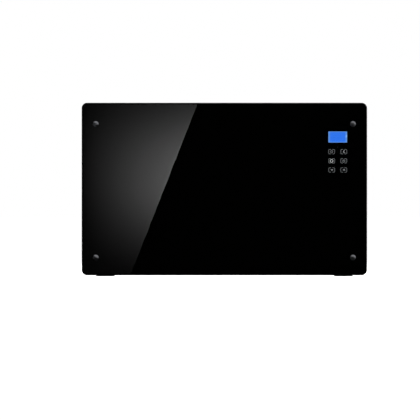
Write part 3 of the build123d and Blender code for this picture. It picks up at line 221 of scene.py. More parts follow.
deselect_all()
bpy.ops.mesh.primitive_cube_add(
    size=1,
    location=(0, (glass_low.y + glass_back) / 2, glass_middle.z),
    scale=(glass_size.x, glass_back - glass_low.y, glass_size.z),
)
panel_glass = bpy.context.object
settle(panel_glass)
begin_edit(panel_glass)
select_where("EDGE", lambda middle, direction: abs(direction.y) > 0.9)
bpy.ops.mesh.bevel(offset=glass_corner, segments=glass_corner_steps, affect="EDGES")
end_edit()
deselect_all()
bpy.ops.mesh.primitive_cylinder_add(
    vertices=hole_sides,
    radius=glass_hole_radius,
    depth=3 * glass_size.y,
    location=(0, glass_middle.y, 0),
    rotation=(pi / 2, 0, 0),
)
cut_away(panel_glass, copies(bpy.context.object, cap_places, "drill"))
apply_modifier(
    panel_glass, "BEVEL",
    width=glass_arris, segments=1, limit_method="ANGLE", angle_limit=radians(40),
)
smooth(panel_glass, 12)
panel_glass.name = panel_glass.data.name = "panel_glass"

# Float glass, fire-polished: clear face on, with a green cast that only shows through the edge.
# Handling leaves patches of slightly duller polish, about 60 mm across.
polish_patch = 60 * mm
green_density = 9.0
float_glass, tree, place = new_material("float_glass_polished")
patches = add_node(tree, "TexNoise", {"Scale": 1 / polish_patch, "Detail": 3.0, "Vector": place})
polish = add_node(tree, "MapRange", {
    "From Min": 0.35, "From Max": 0.75, "To Min": 0.0, "To Max": 0.012, "Value": patches,
})
clear = add_node(tree, "BsdfPrincipled", {
    "Base Color": linear("#f4f8f6"), "IOR": 1.52, "Transmission Weight": 1.0, "Roughness": polish,
})
cast = add_node(tree, "VolumeAbsorption", {"Color": linear("#9fc4b2"), "Density": green_density})
add_node(tree, "OutputMaterial", {"Surface": clear, "Volume": cast})
paint(panel_glass, float_glass)
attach(panel_glass, "heater")
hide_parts("front_glass")

# ---- print on the back of the glass
# A black ceramic enamel, screen-printed on the back of the glass and fired into it. It leaves a
# window for the display, a slot for the receiver and a clear ring at each corner.

# Fired enamel: a dead, even black that the glass alone gives its gloss, and a dull, slightly
# cloudy dark grey on its bare back, where the grains of glass frit stand up. That grey is partly
# the enamel's own and partly a painted sheen: the back is painted lighter than the front, in place
# of the gloss that its shader leaves off. The grains are about 0.1 mm across and are drawn at
# 1.5 mm, so that they show.
frit_grain = 1.5 * mm
frit_cloud = 90 * mm
print_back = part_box("glass_print")[1].y
black_enamel, tree, place = new_material("ceramic_enamel_fired")
frit = add_node(tree, "TexNoise", {"Scale": 1 / frit_grain, "Detail": 4.0, "Vector": place})
cloud = add_node(tree, "TexNoise", {"Scale": 1 / frit_cloud, "Detail": 2.0, "Vector": place})
mottle = add_node(tree, "Math", {"operation": "MULTIPLY", "Value": frit, "Value_001": cloud})
# The bare back's grey, lighter than the black in front, is partly a painted sheen.
bare_back_painted_sheen = add_node(tree, "Mix", {
    "data_type": "RGBA", "Factor_Float": mottle,
    "A_Color": linear("#101112"), "B_Color": linear("#303235"),
})
depth = add_node(tree, "SeparateXYZ", {"Vector": place})
on_back = add_node(tree, "Math", {
    "operation": "GREATER_THAN", "Value": depth.outputs["Y"],
    "Value_001": (print_front + print_back) / 2,
})
behind_glass = add_node(tree, "Mix", {
    "data_type": "RGBA", "Factor_Float": frit,
    "A_Color": linear("#010101"), "B_Color": linear("#040404"),
})
enamel_shade = add_node(tree, "Mix", {
    "data_type": "RGBA", "Factor_Float": on_back, "A_Color": behind_glass, "B_Color": bare_back_painted_sheen,
})
frit_relief = add_node(tree, "Bump", {"Strength": 0.5, "Distance": 0.02 * mm, "Height": frit})
enamel = add_node(tree, "BsdfPrincipled", {
    "Roughness": 0.6, "Specular IOR Level": 0.0, "Base Color": enamel_shade, "Normal": frit_relief,
})
add_node(tree, "OutputMaterial", {"Surface": enamel})
dress(black_enamel, "glass_print")

# ---- touch keys
# Six capacitive keys in two columns. Each is a pair of brackets round a small sign, left open in
# the black print and filled with a translucent grey ink. The ink is given a faint painted glow,
# though no lamp lies behind it.

display_low, display_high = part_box("display_module")
key_x = (display_low.x + display_high.x) / 2
pads_low, pads_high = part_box("touch_pads")
pad_width = 13 * mm
pad_height = 10 * mm
key_xs = (pads_low.x + pad_width / 2, pads_high.x - pad_width / 2)
key_middle_z = (pads_low.z + pads_high.z) / 2
key_step_z = (pads_high.z - pads_low.z - pad_height) / 2
key_zs = (key_middle_z + key_step_z, key_middle_z, key_middle_z - key_step_z)
ink_front = print_front - 0.03 * mm
ink_thickness = 0.06 * mm
sign_steps = 48


def stand_up(sign, x, z, front=ink_front, thickness=ink_thickness):
    """Turns a flat sign drawn on XY to face the front, sets it in its place and gives it a body."""
    sign.rotation_euler = (pi / 2, 0, 0)
    sign.location = (x, front, z)
    settle(sign)
    apply_modifier(sign, "SOLIDIFY", thickness=thickness, offset=-1)
    return sign


def leave_rim(sign, stroke):
    """Takes the inside of a flat sign away."""
    begin_edit(sign)
    bpy.ops.mesh.inset(thickness=stroke)
    bpy.ops.mesh.delete(type="FACE")
    end_edit()


def round_corners(sign, corner, steps):
    """Rounds every corner of a flat sign."""
    begin_edit(sign)
    bpy.ops.mesh.bevel(offset=corner, segments=steps, affect="VERTICES")
    end_edit()


def flat_ring(outer, stroke):
    """A flat ring on XY about the origin."""
    deselect_all()
    bpy.ops.mesh.primitive_circle_add(vertices=sign_steps, radius=outer, fill_type="NGON")
    ring = bpy.context.object
    leave_rim(ring, stroke)
    return ring


def flat_bar(width, height, corner, steps=4, x=0.0, y=0.0):
    """A flat bar on XY with round corners."""
    deselect_all()
    bpy.ops.mesh.primitive_plane_add(size=1, location=(x, y, 0))
    bar = bpy.context.object
    bar.scale = (width, height, 1)
    settle(bar)
    round_corners(bar, corner, steps)
    return bar


def cut_strip(sign, half_width, above):
    """Opens a flat sign along its middle, over a strip of that half width, above a height."""
    begin_edit(sign)
    for side in (-1, 1):
        bpy.ops.mesh.select_all(action="SELECT")
        bpy.ops.mesh.bisect(plane_co=(side * half_width, 0, 0), plane_no=(1, 0, 0))
    select_where("FACE", lambda middle, normal: abs(middle.x) < half_width and middle.y > above)
    bpy.ops.mesh.delete(type="FACE")
    end_edit()


def painted_glow_ink(name, colour, strength):
    """A translucent ink: dark grey by itself, with a nearly even painted glow of its own, though no
    lamp lies behind it.
    """
    material, tree, place = new_material(name)
    fleck = 1.5 * mm
    cloud = add_node(tree, "TexNoise", {"Scale": 1 / fleck, "Detail": 2.0, "Vector": place})
    glow = add_node(tree, "MapRange", {
        "To Min": 0.85 * strength, "To Max": 1.15 * strength, "Value": cloud,
    })
    ink = add_node(tree, "BsdfPrincipled", {
        "Base Color": linear("#3c3d3f"), "Roughness": 0.7, "Specular IOR Level": 0.0,
        "Emission Color": linear(colour), "Emission Strength": glow,
    })
    add_node(tree, "OutputMaterial", {"Surface": ink})
    return material


bracket_height = 13.6 * mm
bracket_gap = 4.2 * mm
bracket = flat_bar(width=17.8 * mm, height=bracket_height, corner=3.6 * mm, steps=6)
leave_rim(bracket, stroke=1.0 * mm)
cut_strip(bracket, half_width=bracket_gap / 2, above=-bracket_height)
key_brackets = copies(
    stand_up(bracket, 0, 0),
    [Matrix.Translation((x, 0, z)) for x in key_xs for z in key_zs],
    "key_brackets",
)

# Screen-printed ink, uneven in soft flecks about 1.5 mm across, with a painted glow of its own:
# dim for the brackets, brighter for the signs, and brightest for the heat sign.
paint(key_brackets, painted_glow_ink("screen_ink_dim_painted_glow", "#e4e8ee", 0.22))
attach(key_brackets, "heater")

# On and off: a ring with a bar that breaks it at the top.
power_ring = flat_ring(outer=3.6 * mm, stroke=1.0 * mm)
cut_strip(power_ring, half_width=1.2 * mm, above=0)
power_bar = flat_bar(width=1.0 * mm, height=2.6 * mm, corner=0.4 * mm, y=2.6 * mm)
power_sign = stand_up(join([power_ring, power_bar], "power_sign"), key_xs[0], key_zs[0])

# Night: a crescent, cut from a disc by a smaller one beside it.
moon_radius = 4.0 * mm
bite_radius = 3.4 * mm
bite_place = (2.1 * mm, 0.15 * mm, 0)
moon_shift = 2.2 * mm
deselect_all()
bpy.ops.mesh.primitive_cylinder_add(vertices=sign_steps, radius=moon_radius, depth=ink_thickness)
crescent_sign = bpy.context.object
deselect_all()
bpy.ops.mesh.primitive_cylinder_add(
    vertices=sign_steps, radius=bite_radius, depth=4 * ink_thickness, location=bite_place
)
cut_away(crescent_sign, bpy.context.object)
crescent_sign.rotation_euler = (pi / 2, 0, 0)
crescent_sign.location = (key_xs[1] + moon_shift, ink_front + ink_thickness / 2, key_zs[0])
settle(crescent_sign)

# Heat: a bold ring.
heat_sign = stand_up(
    flat_ring(outer=4.5 * mm, stroke=1.25 * mm), key_xs[0] - 0.35 * mm, key_zs[1] - 0.3 * mm
)

# Timer: a thin ring with two hands.
clock_ring = flat_ring(outer=3.7 * mm, stroke=0.9 * mm)
hour_hand = flat_bar(width=0.8 * mm, height=3.0 * mm, corner=0.3 * mm, y=1.1 * mm)
minute_hand = flat_bar(width=2.8 * mm, height=0.8 * mm, corner=0.3 * mm, x=1.0 * mm)
timer_sign = stand_up(
    join([clock_ring, hour_hand, minute_hand], "timer_sign"),
    key_xs[1] + 0.2 * mm,
    key_zs[1] - 0.6 * mm,
)

# Down and up: two solid triangles with blunt corners.
arrow_radius = 4.3 * mm
arrow_squat = 0.78
arrow_signs = []
for x, turn in ((key_xs[0], pi), (key_xs[1], 0)):
    deselect_all()
    bpy.ops.mesh.primitive_circle_add(
        vertices=3, radius=arrow_radius, fill_type="NGON", rotation=(0, 0, turn)
    )
    arrow = bpy.context.object
    settle(arrow)
    arrow.scale = (1, arrow_squat, 1)
    settle(arrow)
    round_corners(arrow, corner=0.6 * mm, steps=3)
    arrow_signs.append(stand_up(arrow, x + 0.7 * mm, key_zs[2] + 0.3 * mm))

key_signs = join([power_sign, crescent_sign, timer_sign, *arrow_signs], "key_signs")
# The signs' ink, too, is given a painted glow.
paint(key_signs, painted_glow_ink("screen_ink_painted_glow", "#eef1f5", 0.27))
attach(key_signs, "heater")

heat_sign.name = heat_sign.data.name = "heat_sign"
# The heat sign's ink has the strongest painted glow.
paint(heat_sign, painted_glow_ink("screen_ink_strong_painted_glow", "#f4f6f8", 0.68))
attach(heat_sign, "heater")

# ---- receiver filter
# A small pill of smoked polycarbonate in the slot under the display. It lets infrared through
# and hides the receiver behind it.


def finish_of(name, dark, light, grain, relief, roughness, spread=0.05, **shader):
    """A finish whose shade, roughness and fine relief all follow one grain of a real size."""
    material, tree, place = new_material(name)
    noise = add_node(tree, "TexNoise", {
        "Scale": 1 / grain, "Detail": 4.0, "Roughness": 0.6, "Vector": place,
    })
    shade = add_node(tree, "Mix", {
        "data_type": "RGBA", "Factor_Float": noise,
        "A_Color": linear(dark), "B_Color": linear(light),
    })
    sheen = add_node(tree, "MapRange", {
        "From Min": 0.3, "From Max": 0.7, "Value": noise,
        "To Min": roughness - spread, "To Max": roughness + spread,
    })
    bump = add_node(tree, "Bump", {"Strength": 0.6, "Distance": relief, "Height": noise})
    surface = add_node(tree, "BsdfPrincipled", {
        **shader, "Base Color": shade, "Roughness": sheen, "Normal": bump,
    })
    add_node(tree, "OutputMaterial", {"Surface": surface})
    return material


receiver_low, receiver_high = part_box("infrared_receiver")
filter_width = 2.4 * mm
receiver_filter = stand_up(
    flat_bar(filter_width, height=5.8 * mm, corner=0.49 * filter_width),
    key_x,
    (receiver_low.z + receiver_high.z) / 2,
    front=glass_back + 0.01 * mm,
    thickness=0.12 * mm,
)
receiver_filter.name = receiver_filter.data.name = "receiver_filter"
# Smoked polycarbonate, polished: a dark grey, very slightly cloudy.
paint(receiver_filter, finish_of(
    "smoked_polycarbonate", "#16161a", "#1f1f22", grain=1 * mm, relief=0.002 * mm, roughness=0.3,
    **{"Specular IOR Level": 0.0},
))
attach(receiver_filter, "heater")

# ---- display
# A liquid-crystal module: two bonded glasses over a light guide with blue lamps along its
# right-hand side. Its segments are only a little darker than the ground when seen from the front.
window_width = 52.4 * mm
window_height = 30.8 * mm
display_z = (display_low.z + display_high.z) / 2
end_rim_reach = 3.0 * mm
side_rim_reach = 7.0 * mm
lamp_reach = 6.0 * mm
lamp_up = 2.5 * mm
# The glass takes a sixth of the light that passes through it, which the backlight makes up for.
display_strength = 1.19
lit_glass = {
    "Base Color": linear("#0a1226"), "Roughness": 0.4, "Specular IOR Level": 0.0,
    "Emission Strength": display_strength,
}

# Backlit glass: an even blue, paler and greyer near the edges of its window and palest by the lamp.
display_lit, tree, place = new_material("display_glass_backlit")
about_window = add_node(tree, "Mapping", {"Location": (-key_x, 0, -display_z), "Vector": place})
axes = add_node(tree, "SeparateXYZ", {"Vector": about_window}).outputs
rims = []
for axis, half, reach in (
    ("X", window_width / 2, side_rim_reach),
    ("Z", window_height / 2, end_rim_reach),
):
    off_middle = add_node(tree, "Math", {"operation": "ABSOLUTE", "Value": axes[axis]})
    rims.append(add_node(tree, "MapRange", {
        "From Min": half - reach, "From Max": half, "interpolation_type": "SMOOTHSTEP",
        "Value": off_middle,
    }))
rim = add_node(tree, "Math", {"operation": "MAXIMUM", "Value": rims[0], "Value_001": rims[1]})
ground = add_node(tree, "Mix", {
    "data_type": "RGBA", "Factor_Float": rim,
    "A_Color": linear("#3274ee"), "B_Color": linear("#6796dc"),
})
on_face = add_node(tree, "CombineXYZ", {"X": axes["X"], "Z": axes["Z"]})
from_lamp = add_node(tree, "VectorMath", {
    "operation": "DISTANCE", "Vector": on_face, "Vector_001": (window_width / 2, 0, lamp_up),
})
lamp_glow = add_node(tree, "MapRange", {
    "From Min": lamp_reach, "From Max": 0.0, "To Max": 0.8, "interpolation_type": "SMOOTHSTEP",
    "Value": from_lamp,
})
lit = add_node(tree, "Mix", {
    "data_type": "RGBA", "Factor_Float": lamp_glow, "A_Color": ground, "B_Color": linear("#9ccbff"),
})
screen = add_node(tree, "BsdfPrincipled", {**lit_glass, "Emission Color": lit})
add_node(tree, "OutputMaterial", {"Surface": screen})
dress(display_lit, "display_module")

# The figures: seven bars with pointed ends for each digit, and a small pair for the time.
segment_width = 0.9 * mm
tall_digit = 13 * mm
small_digit = 5 * mm
digit_slant = radians(6)
half_digit_share = 0.27
bar_share = 0.86
digit_bars = {
    "top": (0, 1, 0), "middle": (0, 0, 0), "bottom": (0, -1, 0),
    "top_left": (-1, 0.5, 1), "top_right": (1, 0.5, 1),
    "low_left": (-1, -0.5, 1), "low_right": (1, -0.5, 1),
}
digit_shapes = {
    "2": ("top", "top_right", "middle", "low_left", "bottom"),
    "3": ("top", "top_right", "middle", "low_right", "bottom"),
    "1": ("top_right", "low_right"),
    "0": ("top", "top_left", "top_right", "low_left", "low_right", "bottom"),
}
figures = []
for digits, digit_height, left, low, pitch in (
    ("23", tall_digit, -9 * mm, -1.5 * mm, 9.5 * mm),
    ("12", small_digit, 9 * mm, 5.5 * mm, 4 * mm),
    ("30", small_digit, 18 * mm, 5.5 * mm, 4 * mm),
):
    half = digit_height / 2
    reach = digit_height * half_digit_share
    thick = segment_width * digit_height / tall_digit
    for index, digit in enumerate(digits):
        for bar_name in digit_shapes[digit]:
            across, up, upright = digit_bars[bar_name]
            long_side = (half if upright else 2 * reach) * bar_share
            deselect_all()
            bpy.ops.mesh.primitive_circle_add(vertices=6, radius=0.5, fill_type="NGON")
            bar = bpy.context.object
            bar.scale = (thick, long_side, 1) if upright else (long_side, thick, 1)
            bar.location = (
                left + index * pitch + across * reach + up * half * tan(digit_slant),
                low + up * half,
                0,
            )
            settle(bar)
            figures.append(bar)
display_figures = join(figures, "display_figures")
stand_up(display_figures, key_x, display_z, front=display_low.y - 0.03 * mm, thickness=0.02 * mm)

# Darkened segments: the same blue a shade lower, slightly uneven over 4 mm.
figure_ink, tree, place = new_material("display_segments_dark")
segment_cloud = add_node(tree, "TexNoise", {"Scale": 1 / (4 * mm), "Vector": place})
segment_blue = add_node(tree, "Mix", {
    "data_type": "RGBA", "Factor_Float": segment_cloud,
    "A_Color": linear("#2a66db"), "B_Color": linear("#2e6be2"),
})
segment = add_node(tree, "BsdfPrincipled", {**lit_glass, "Emission Color": segment_blue})
add_node(tree, "OutputMaterial", {"Surface": segment})
paint(display_figures, figure_ink)
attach(display_figures, "heater")

# The light guide behind it is acrylic, with the lamp block on its right-hand side.
light_guide = finish_of(
    "acrylic_light_guide", "#2f62c8", "#4a80e0", grain=2 * mm, relief=0.01 * mm, roughness=0.3,
    **{"Emission Color": linear("#2a5fd0"), "Emission Strength": 0.3},
)
dress(light_guide, "display_backlight")

# ---- corner caps
# Four domed caps turned from brass, polished and plated in black chrome. Each stands on a nylon
# shoulder and its screw goes back through the glass to a pillar.


def revolve(name, outline, steps, closed):
    """Spins an outline of (radius, y) spots round the Y axis, with its ends joined if closed."""
    count = len(outline)
    lines = [(i, (i + 1) % count) for i in range(count if closed else count - 1)]
    mesh = bpy.data.meshes.new(name)
    mesh.from_pydata([(radius, y, 0) for radius, y in outline], lines, [])
    body = bpy.data.objects.new(name, mesh)
    bpy.context.scene.collection.objects.link(body)
    begin_edit(body, "VERT")
    bpy.ops.mesh.spin(steps=steps, angle=2 * pi, center=(0, 0, 0), axis=(0, 1, 0))
    bpy.ops.mesh.select_all(action="SELECT")
    bpy.ops.mesh.remove_doubles(threshold=0.001 * mm)
    bpy.ops.mesh.normals_make_consistent(inside=False)
    end_edit()
    return body


dome_steps = 9
cap_rim_radius = 0.35 * mm
cap_height = 4.6 * mm
cap_rim = 1.4 * mm
shank_radius = 2.5 * mm
cap_front = caps_low.y
cap_base = cap_front + cap_height
shank_end = caps_high.y
dome_rise = cap_height - cap_rim
dome_radius = (dome_rise**2 + cap_radius**2) / (2 * dome_rise)
dome_angle = atan2(cap_radius, dome_radius - dome_rise)
dome_turns = [step * dome_angle / dome_steps for step in range(dome_steps + 1)]
cap_outline = [
    (dome_radius * sin(turn), cap_front + dome_radius * (1 - cos(turn))) for turn in dome_turns
] + [
    (cap_radius, cap_base - cap_rim_radius),
    (cap_radius - cap_rim_radius, cap_base),
    (shank_radius, cap_base),
    (shank_radius, shank_end),
    (0, shank_end),
]
cap = revolve("glass_cap", cap_outline, steps=72, closed=False)
dome_caps = copies(cap, cap_places, "dome_caps")
smooth(dome_caps, 35)

# Black chrome: a dark mirror, dulled evenly by fine buffing. The plate is a little lighter at
# some places than at others, in patches about 5 mm across.
black_chrome = finish_of(
    "black_chrome_polished", "#68696c", "#78797d", grain=5 * mm, relief=0.002 * mm, roughness=0.3,
    spread=0.03, Metallic=1.0,
)
paint(dome_caps, black_chrome)
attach(dome_caps, "heater")
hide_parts("glass_caps")

# ---- bushes, washers and pillars
# Behind each cap: a shouldered nylon bush in the glass hole, a rubber washer behind the glass,
# and a zinc-plated steel pillar with its nut on the chassis.

# Moulded nylon: black, with a fine satin grain.
black_nylon = finish_of(
    "nylon_moulded", "#17181a", "#222326", grain=0.8 * mm, relief=0.02 * mm, roughness=0.5
)
dress(black_nylon, "glass_bushes")
# Moulded rubber: a dull black with hardly any gloss.
black_rubber = finish_of(
    "rubber_moulded", "#141414", "#1f1f20", grain=1.2 * mm, relief=0.04 * mm, roughness=0.8,
    **{"Specular IOR Level": 0.3},
)
dress(black_rubber, "rear_washers", "lead_grommets")

# Bright zinc: bluish grey with a soft cloud from the plating bath, 25 mm across, and faint rolling
# marks, 8 mm long and a twelfth of that high.
zinc_plate, tree, place = new_material("zinc_plated_steel")
rolled = add_node(tree, "Mapping", {"Scale": (1, 1, 12), "Vector": place})
cloud = add_node(tree, "TexNoise", {"Scale": 1 / (25 * mm), "Detail": 3.0, "Vector": place})
marks = add_node(tree, "TexNoise", {"Scale": 1 / (8 * mm), "Detail": 5.0, "Vector": rolled})
zinc_shade = add_node(tree, "Mix", {
    "data_type": "RGBA", "Factor_Float": cloud,
    "A_Color": linear("#94989b"), "B_Color": linear("#b9bdbf"),
})
zinc_dull = add_node(tree, "MapRange", {"To Min": 0.26, "To Max": 0.44, "Value": marks})
zinc_relief = add_node(tree, "Bump", {"Strength": 0.3, "Distance": 0.01 * mm, "Height": marks})
zinc = add_node(tree, "BsdfPrincipled", {
    "Metallic": 1.0, "Base Color": zinc_shade, "Roughness": zinc_dull, "Normal": zinc_relief,
})
add_node(tree, "OutputMaterial", {"Surface": zinc})
dress(
    zinc_plate, "standoff_pillars", "pillar_nuts", "chassis_plate", "hanger_plates",
    "foot_nut_plates", "cutout_straps", "earth_stud", "board_screws",
)

# ---- heating stack
# Behind the print: a carbon film, copper strips, mica and an aluminium reflector, then a blanket
# of ceramic fibre, all held together by an aluminium frame that shows in the gap at the sides.


def dress_from(*rows):
    """Dresses CAD nodes from rows of: a finish's name, dark and light shade, grain, relief,
    roughness and share of metal, then its nodes."""
    for name, dark, light, grain, relief, roughness, metal, *nodes in rows:
        dress(finish_of(name, dark, light, grain, relief, roughness, Metallic=metal), *nodes)


dress_from(
    # Carbon ink on film: black and almost matt.
    ("carbon_film", "#101011", "#1b1b1d", 3 * mm, 0.01 * mm, 0.55, 0.0, "heating_film"),
    # Bare rolled copper.
    ("copper_strip", "#b87350", "#c98862", 6 * mm, 0.01 * mm, 0.3, 1.0, "busbars"),
    # Mica flakes pressed with a binder.
    ("mica_pressed", "#a08a60", "#bda777", 4 * mm, 0.02 * mm, 0.45, 0.0, "mica_sheet"),
    # Bare aluminium, as it comes from the mill.
    ("aluminium_mill_finish", "#b9babc", "#cfd0d2", 5 * mm, 0.01 * mm, 0.34, 1.0,
     "reflector_plate", "edge_frame", "capacitor", "thermal_cutouts"),
    # Felted ceramic fibre: off-white and quite dull.
    ("ceramic_fibre_blanket", "#d9d5c8", "#ece9df", 2 * mm, 0.4 * mm, 0.95, 0.0,
     "insulation_blanket"),
)

# ---- boards and electrics
# A display board in a moulded tray against the glass, and a power board on stand-offs behind the
# chassis. All of it is closed in once the cover is on.
dress(
    black_nylon, "control_tray", "relays", "buzzer", "infrared_receiver", "tilt_microswitch",
    "probe_clip",
)
dress(black_rubber, "display_cable", "temperature_probe")
dress_from(
    # Green solder resist over copper.
    ("board_green_resist", "#0b3b20", "#12502c", 3 * mm, 0.01 * mm, 0.3, 0.0,
     "control_board", "power_board"),
    # Foam with carbon in it.
    ("conducting_foam", "#5c5d5f", "#727375", 0.8 * mm, 0.1 * mm, 0.95, 0.0, "touch_pads"),
    # Vulcanised fibre: buff and dull.
    ("fish_paper", "#cbbf9e", "#d8ceb1", 1.5 * mm, 0.02 * mm, 0.85, 0.0, "insulating_sheet"),
    # The varnished edges of iron sheets.
    ("iron_laminations", "#3b3d40", "#55575a", 1 * mm, 0.05 * mm, 0.5, 0.8, "transformer"),
    # Bare brass.
    ("brass_turned", "#c79a4b", "#d9b067", 2 * mm, 0.01 * mm, 0.28, 1.0,
     "board_standoffs", "fuse_clips", "switch_blades", "tilt_weight", "tilt_pin"),
    # Moulded grey nylon.
    ("grey_nylon_moulded", "#8b8d90", "#9b9da0", 1 * mm, 0.02 * mm, 0.5, 0.0,
     "terminal_block", "board_sockets", "tilt_bracket"),
    # Red silicone rubber round the wires.
    ("silicone_wire_red", "#8e1c14", "#a5281d", 2 * mm, 0.03 * mm, 0.6, 0.0, "power_leads"),
)
# The glass tube of the fuse.
fuse_glass = finish_of(
    "fuse_tube_glass", "#c9d6d6", "#dbe5e5", grain=4 * mm, relief=0.01 * mm, roughness=0.08,
    **{"Transmission Weight": 0.8, "IOR": 1.5},
)
dress(fuse_glass, "fuse")

# ---- mains switch
# A snap-in rocker switch in the right-hand wall: a glossy nylon frame, and a rocker with a bar
# and a ring printed on its two halves.
switch_gloss = finish_of(
    "nylon_gloss_moulded", "#0b0b0c", "#131314", grain=3 * mm, relief=0.005 * mm, roughness=0.22,
    spread=0.04,
)
dress(switch_gloss, "switch_housing", "switch_rocker")

rocker_joint = next(joint for joint in frame["joints"] if joint["name"] == "mains_rocker")
rocker_pivot = Vector(rocker_joint["pos_m"])
rocker_tilt = radians(10)
rocker_end_out = 4.52 * mm
rocker_middle_out = 3.4 * mm
rocker_face_half = 6.6 * mm
rocker_slope = atan2(rocker_end_out - rocker_middle_out, rocker_face_half)
mark_from_middle = 3.6 * mm
mark_height = 0.08 * mm
mark_sunk = 0.03 * mm


def on_rocker(mark, half):
    """Lays a flat mark on the upper (1) or lower (-1) half of the rocker's face."""
    apply_modifier(mark, "SOLIDIFY", thickness=mark_height, offset=1)
    out = rocker_middle_out + mark_from_middle * tan(rocker_slope)
    mark.matrix_world = (
        Matrix.Translation(rocker_pivot)
        @ Matrix.Rotation(-rocker_tilt, 4, "Y")
        @ Matrix.Translation((out - mark_sunk, 0, half * mark_from_middle))
        @ Matrix.Rotation(half * rocker_slope, 4, "Y")
        @ Matrix.Rotation(pi / 2, 4, "Z")
        @ Matrix.Rotation(pi / 2, 4, "X")
    )
    settle(mark)
    return mark


bar_mark = on_rocker(flat_bar(width=0.8 * mm, height=3.4 * mm, corner=0.2 * mm), 1)
ring_mark = on_rocker(flat_ring(outer=1.7 * mm, stroke=0.6 * mm), -1)
rocker_marks = join([bar_mark, ring_mark], "rocker_marks")
# Pad-printed white ink, flat and slightly uneven.
white_ink = finish_of(
    "white_pad_ink", "#d6d6d4", "#e8e8e6", grain=0.6 * mm, relief=0.005 * mm, roughness=0.6
)
paint(rocker_marks, white_ink)
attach(rocker_marks, "switch_rocker")

# ---- rear cover
# A tray pressed from 1 mm steel sheet with a raised panel, two fields of louvres and keyholes,
# then powder-coated black. It slips over the chassis and is screwed round its edge.

# Powder coat flows into soft cells as it cures, about 1.2 mm across, drawn at 2.5 mm so that they
# show, with finer specks among them and a broad unevenness in its gloss.
powder_coat, tree, place = new_material("powder_coat_black_fine")
cells = add_node(tree, "TexNoise", {"Scale": 1 / (2.5 * mm), "Detail": 3.0, "Vector": place})
broad = add_node(tree, "TexNoise", {"Scale": 1 / (70 * mm), "Detail": 2.0, "Vector": place})
specks = add_node(tree, "TexVoronoi", {"Scale": 1 / (1.4 * mm), "Vector": place})
coat_shade = add_node(tree, "Mix", {
    "data_type": "RGBA", "Factor_Float": cells,
    "A_Color": linear("#0e0f10"), "B_Color": linear("#17181a"),
})
coat_dull = add_node(tree, "MapRange", {"To Min": 0.42, "To Max": 0.56, "Value": broad})
height = add_node(tree, "Math", {
    "operation": "MULTIPLY_ADD", "Value": specks, "Value_001": 0.35, "Value_002": cells,
})
coat_relief = add_node(tree, "Bump", {"Strength": 0.5, "Distance": 0.05 * mm, "Height": height})
coat = add_node(tree, "BsdfPrincipled", {
    "IOR": 1.5, "Specular IOR Level": 0.35,
    "Base Color": coat_shade, "Roughness": coat_dull, "Normal": coat_relief,
})
add_node(tree, "OutputMaterial", {"Surface": coat})
dress(powder_coat, "rear_cover", "foot_left", "foot_right")

# ---- screws
# Pan-head steel screws with a cross recess round the cover, and button heads with a hexagon
# recess in the feet, all plated black.

# Black zinc plate: a dark, half-bright grey.
black_zinc = finish_of(
    "black_zinc_plate", "#2c2d30", "#3d3e42", grain=1.5 * mm, relief=0.01 * mm, roughness=0.32,
    Metallic=0.9,
)
# How wide a recess is, as a share of the radius of its head.
hexagon_share = 0.34
cross_share = 0.24


def screw_head(radius, height, recess):
    """A domed screw head on XY, facing +Z, with a cross or a hexagon cut into it."""
    deselect_all()
    bpy.ops.mesh.primitive_cylinder_add(
        vertices=40, radius=radius, depth=height, location=(0, 0, height / 2)
    )
    head = bpy.context.object
    settle(head)
    begin_edit(head)
    select_where("EDGE", lambda middle, along: middle.z > 0.9 * height and abs(along.z) < 0.1)
    bpy.ops.mesh.bevel(offset=0.6 * height, segments=5, affect="EDGES")
    end_edit()
    if recess == "hexagon":
        deselect_all()
        bpy.ops.mesh.primitive_cylinder_add(
            vertices=6, radius=hexagon_share * radius, depth=1.2 * height, location=(0, 0, height)
        )
        cut_away(head, bpy.context.object)
    else:
        for turn in (0, pi / 2):
            deselect_all()
            bpy.ops.mesh.primitive_cube_add(
                size=1,
                location=(0, 0, height),
                rotation=(0, 0, turn),
                scale=(1.1 * radius, cross_share * radius, 1.2 * height),
            )
            cut_away(head, bpy.context.object)
    smooth(head, 35)
    return head


def facing(spot, outward):
    """The place of a screw head that stands on a spot and faces outward."""
    turn = Vector((0, 0, 1)).rotation_difference(Vector(outward))
    return Matrix.Translation(spot) @ turn.to_matrix().to_4x4()


screws_low, screws_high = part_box("cover_screws")
cover_head_radius = 3.3 * mm
cover_head_height = 2.0 * mm
screw_y = screws_low.y + cover_head_radius
screw_from_corner = 75 * mm
wall_left, wall_right = screws_low.x + cover_head_height, screws_high.x - cover_head_height
wall_low, wall_high = screws_low.z + cover_head_height, screws_high.z - cover_head_height
cover_screw_heads = copies(
    screw_head(cover_head_radius, cover_head_height, "cross"),
    [
        facing((x, screw_y, z), (0, 0, up))
        for z, up in ((wall_low, -1), (wall_high, 1))
        for x in (wall_left + screw_from_corner, 0, wall_right - screw_from_corner)
    ] + [
        facing((x, screw_y, z), (side, 0, 0))
        for x, side in ((wall_left, -1), (wall_right, 1))
        for z in (wall_low + screw_from_corner, wall_high - screw_from_corner)
    ],
    "cover_screw_heads",
)
paint(cover_screw_heads, black_zinc)
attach(cover_screw_heads, "heater")
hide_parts("cover_screws")

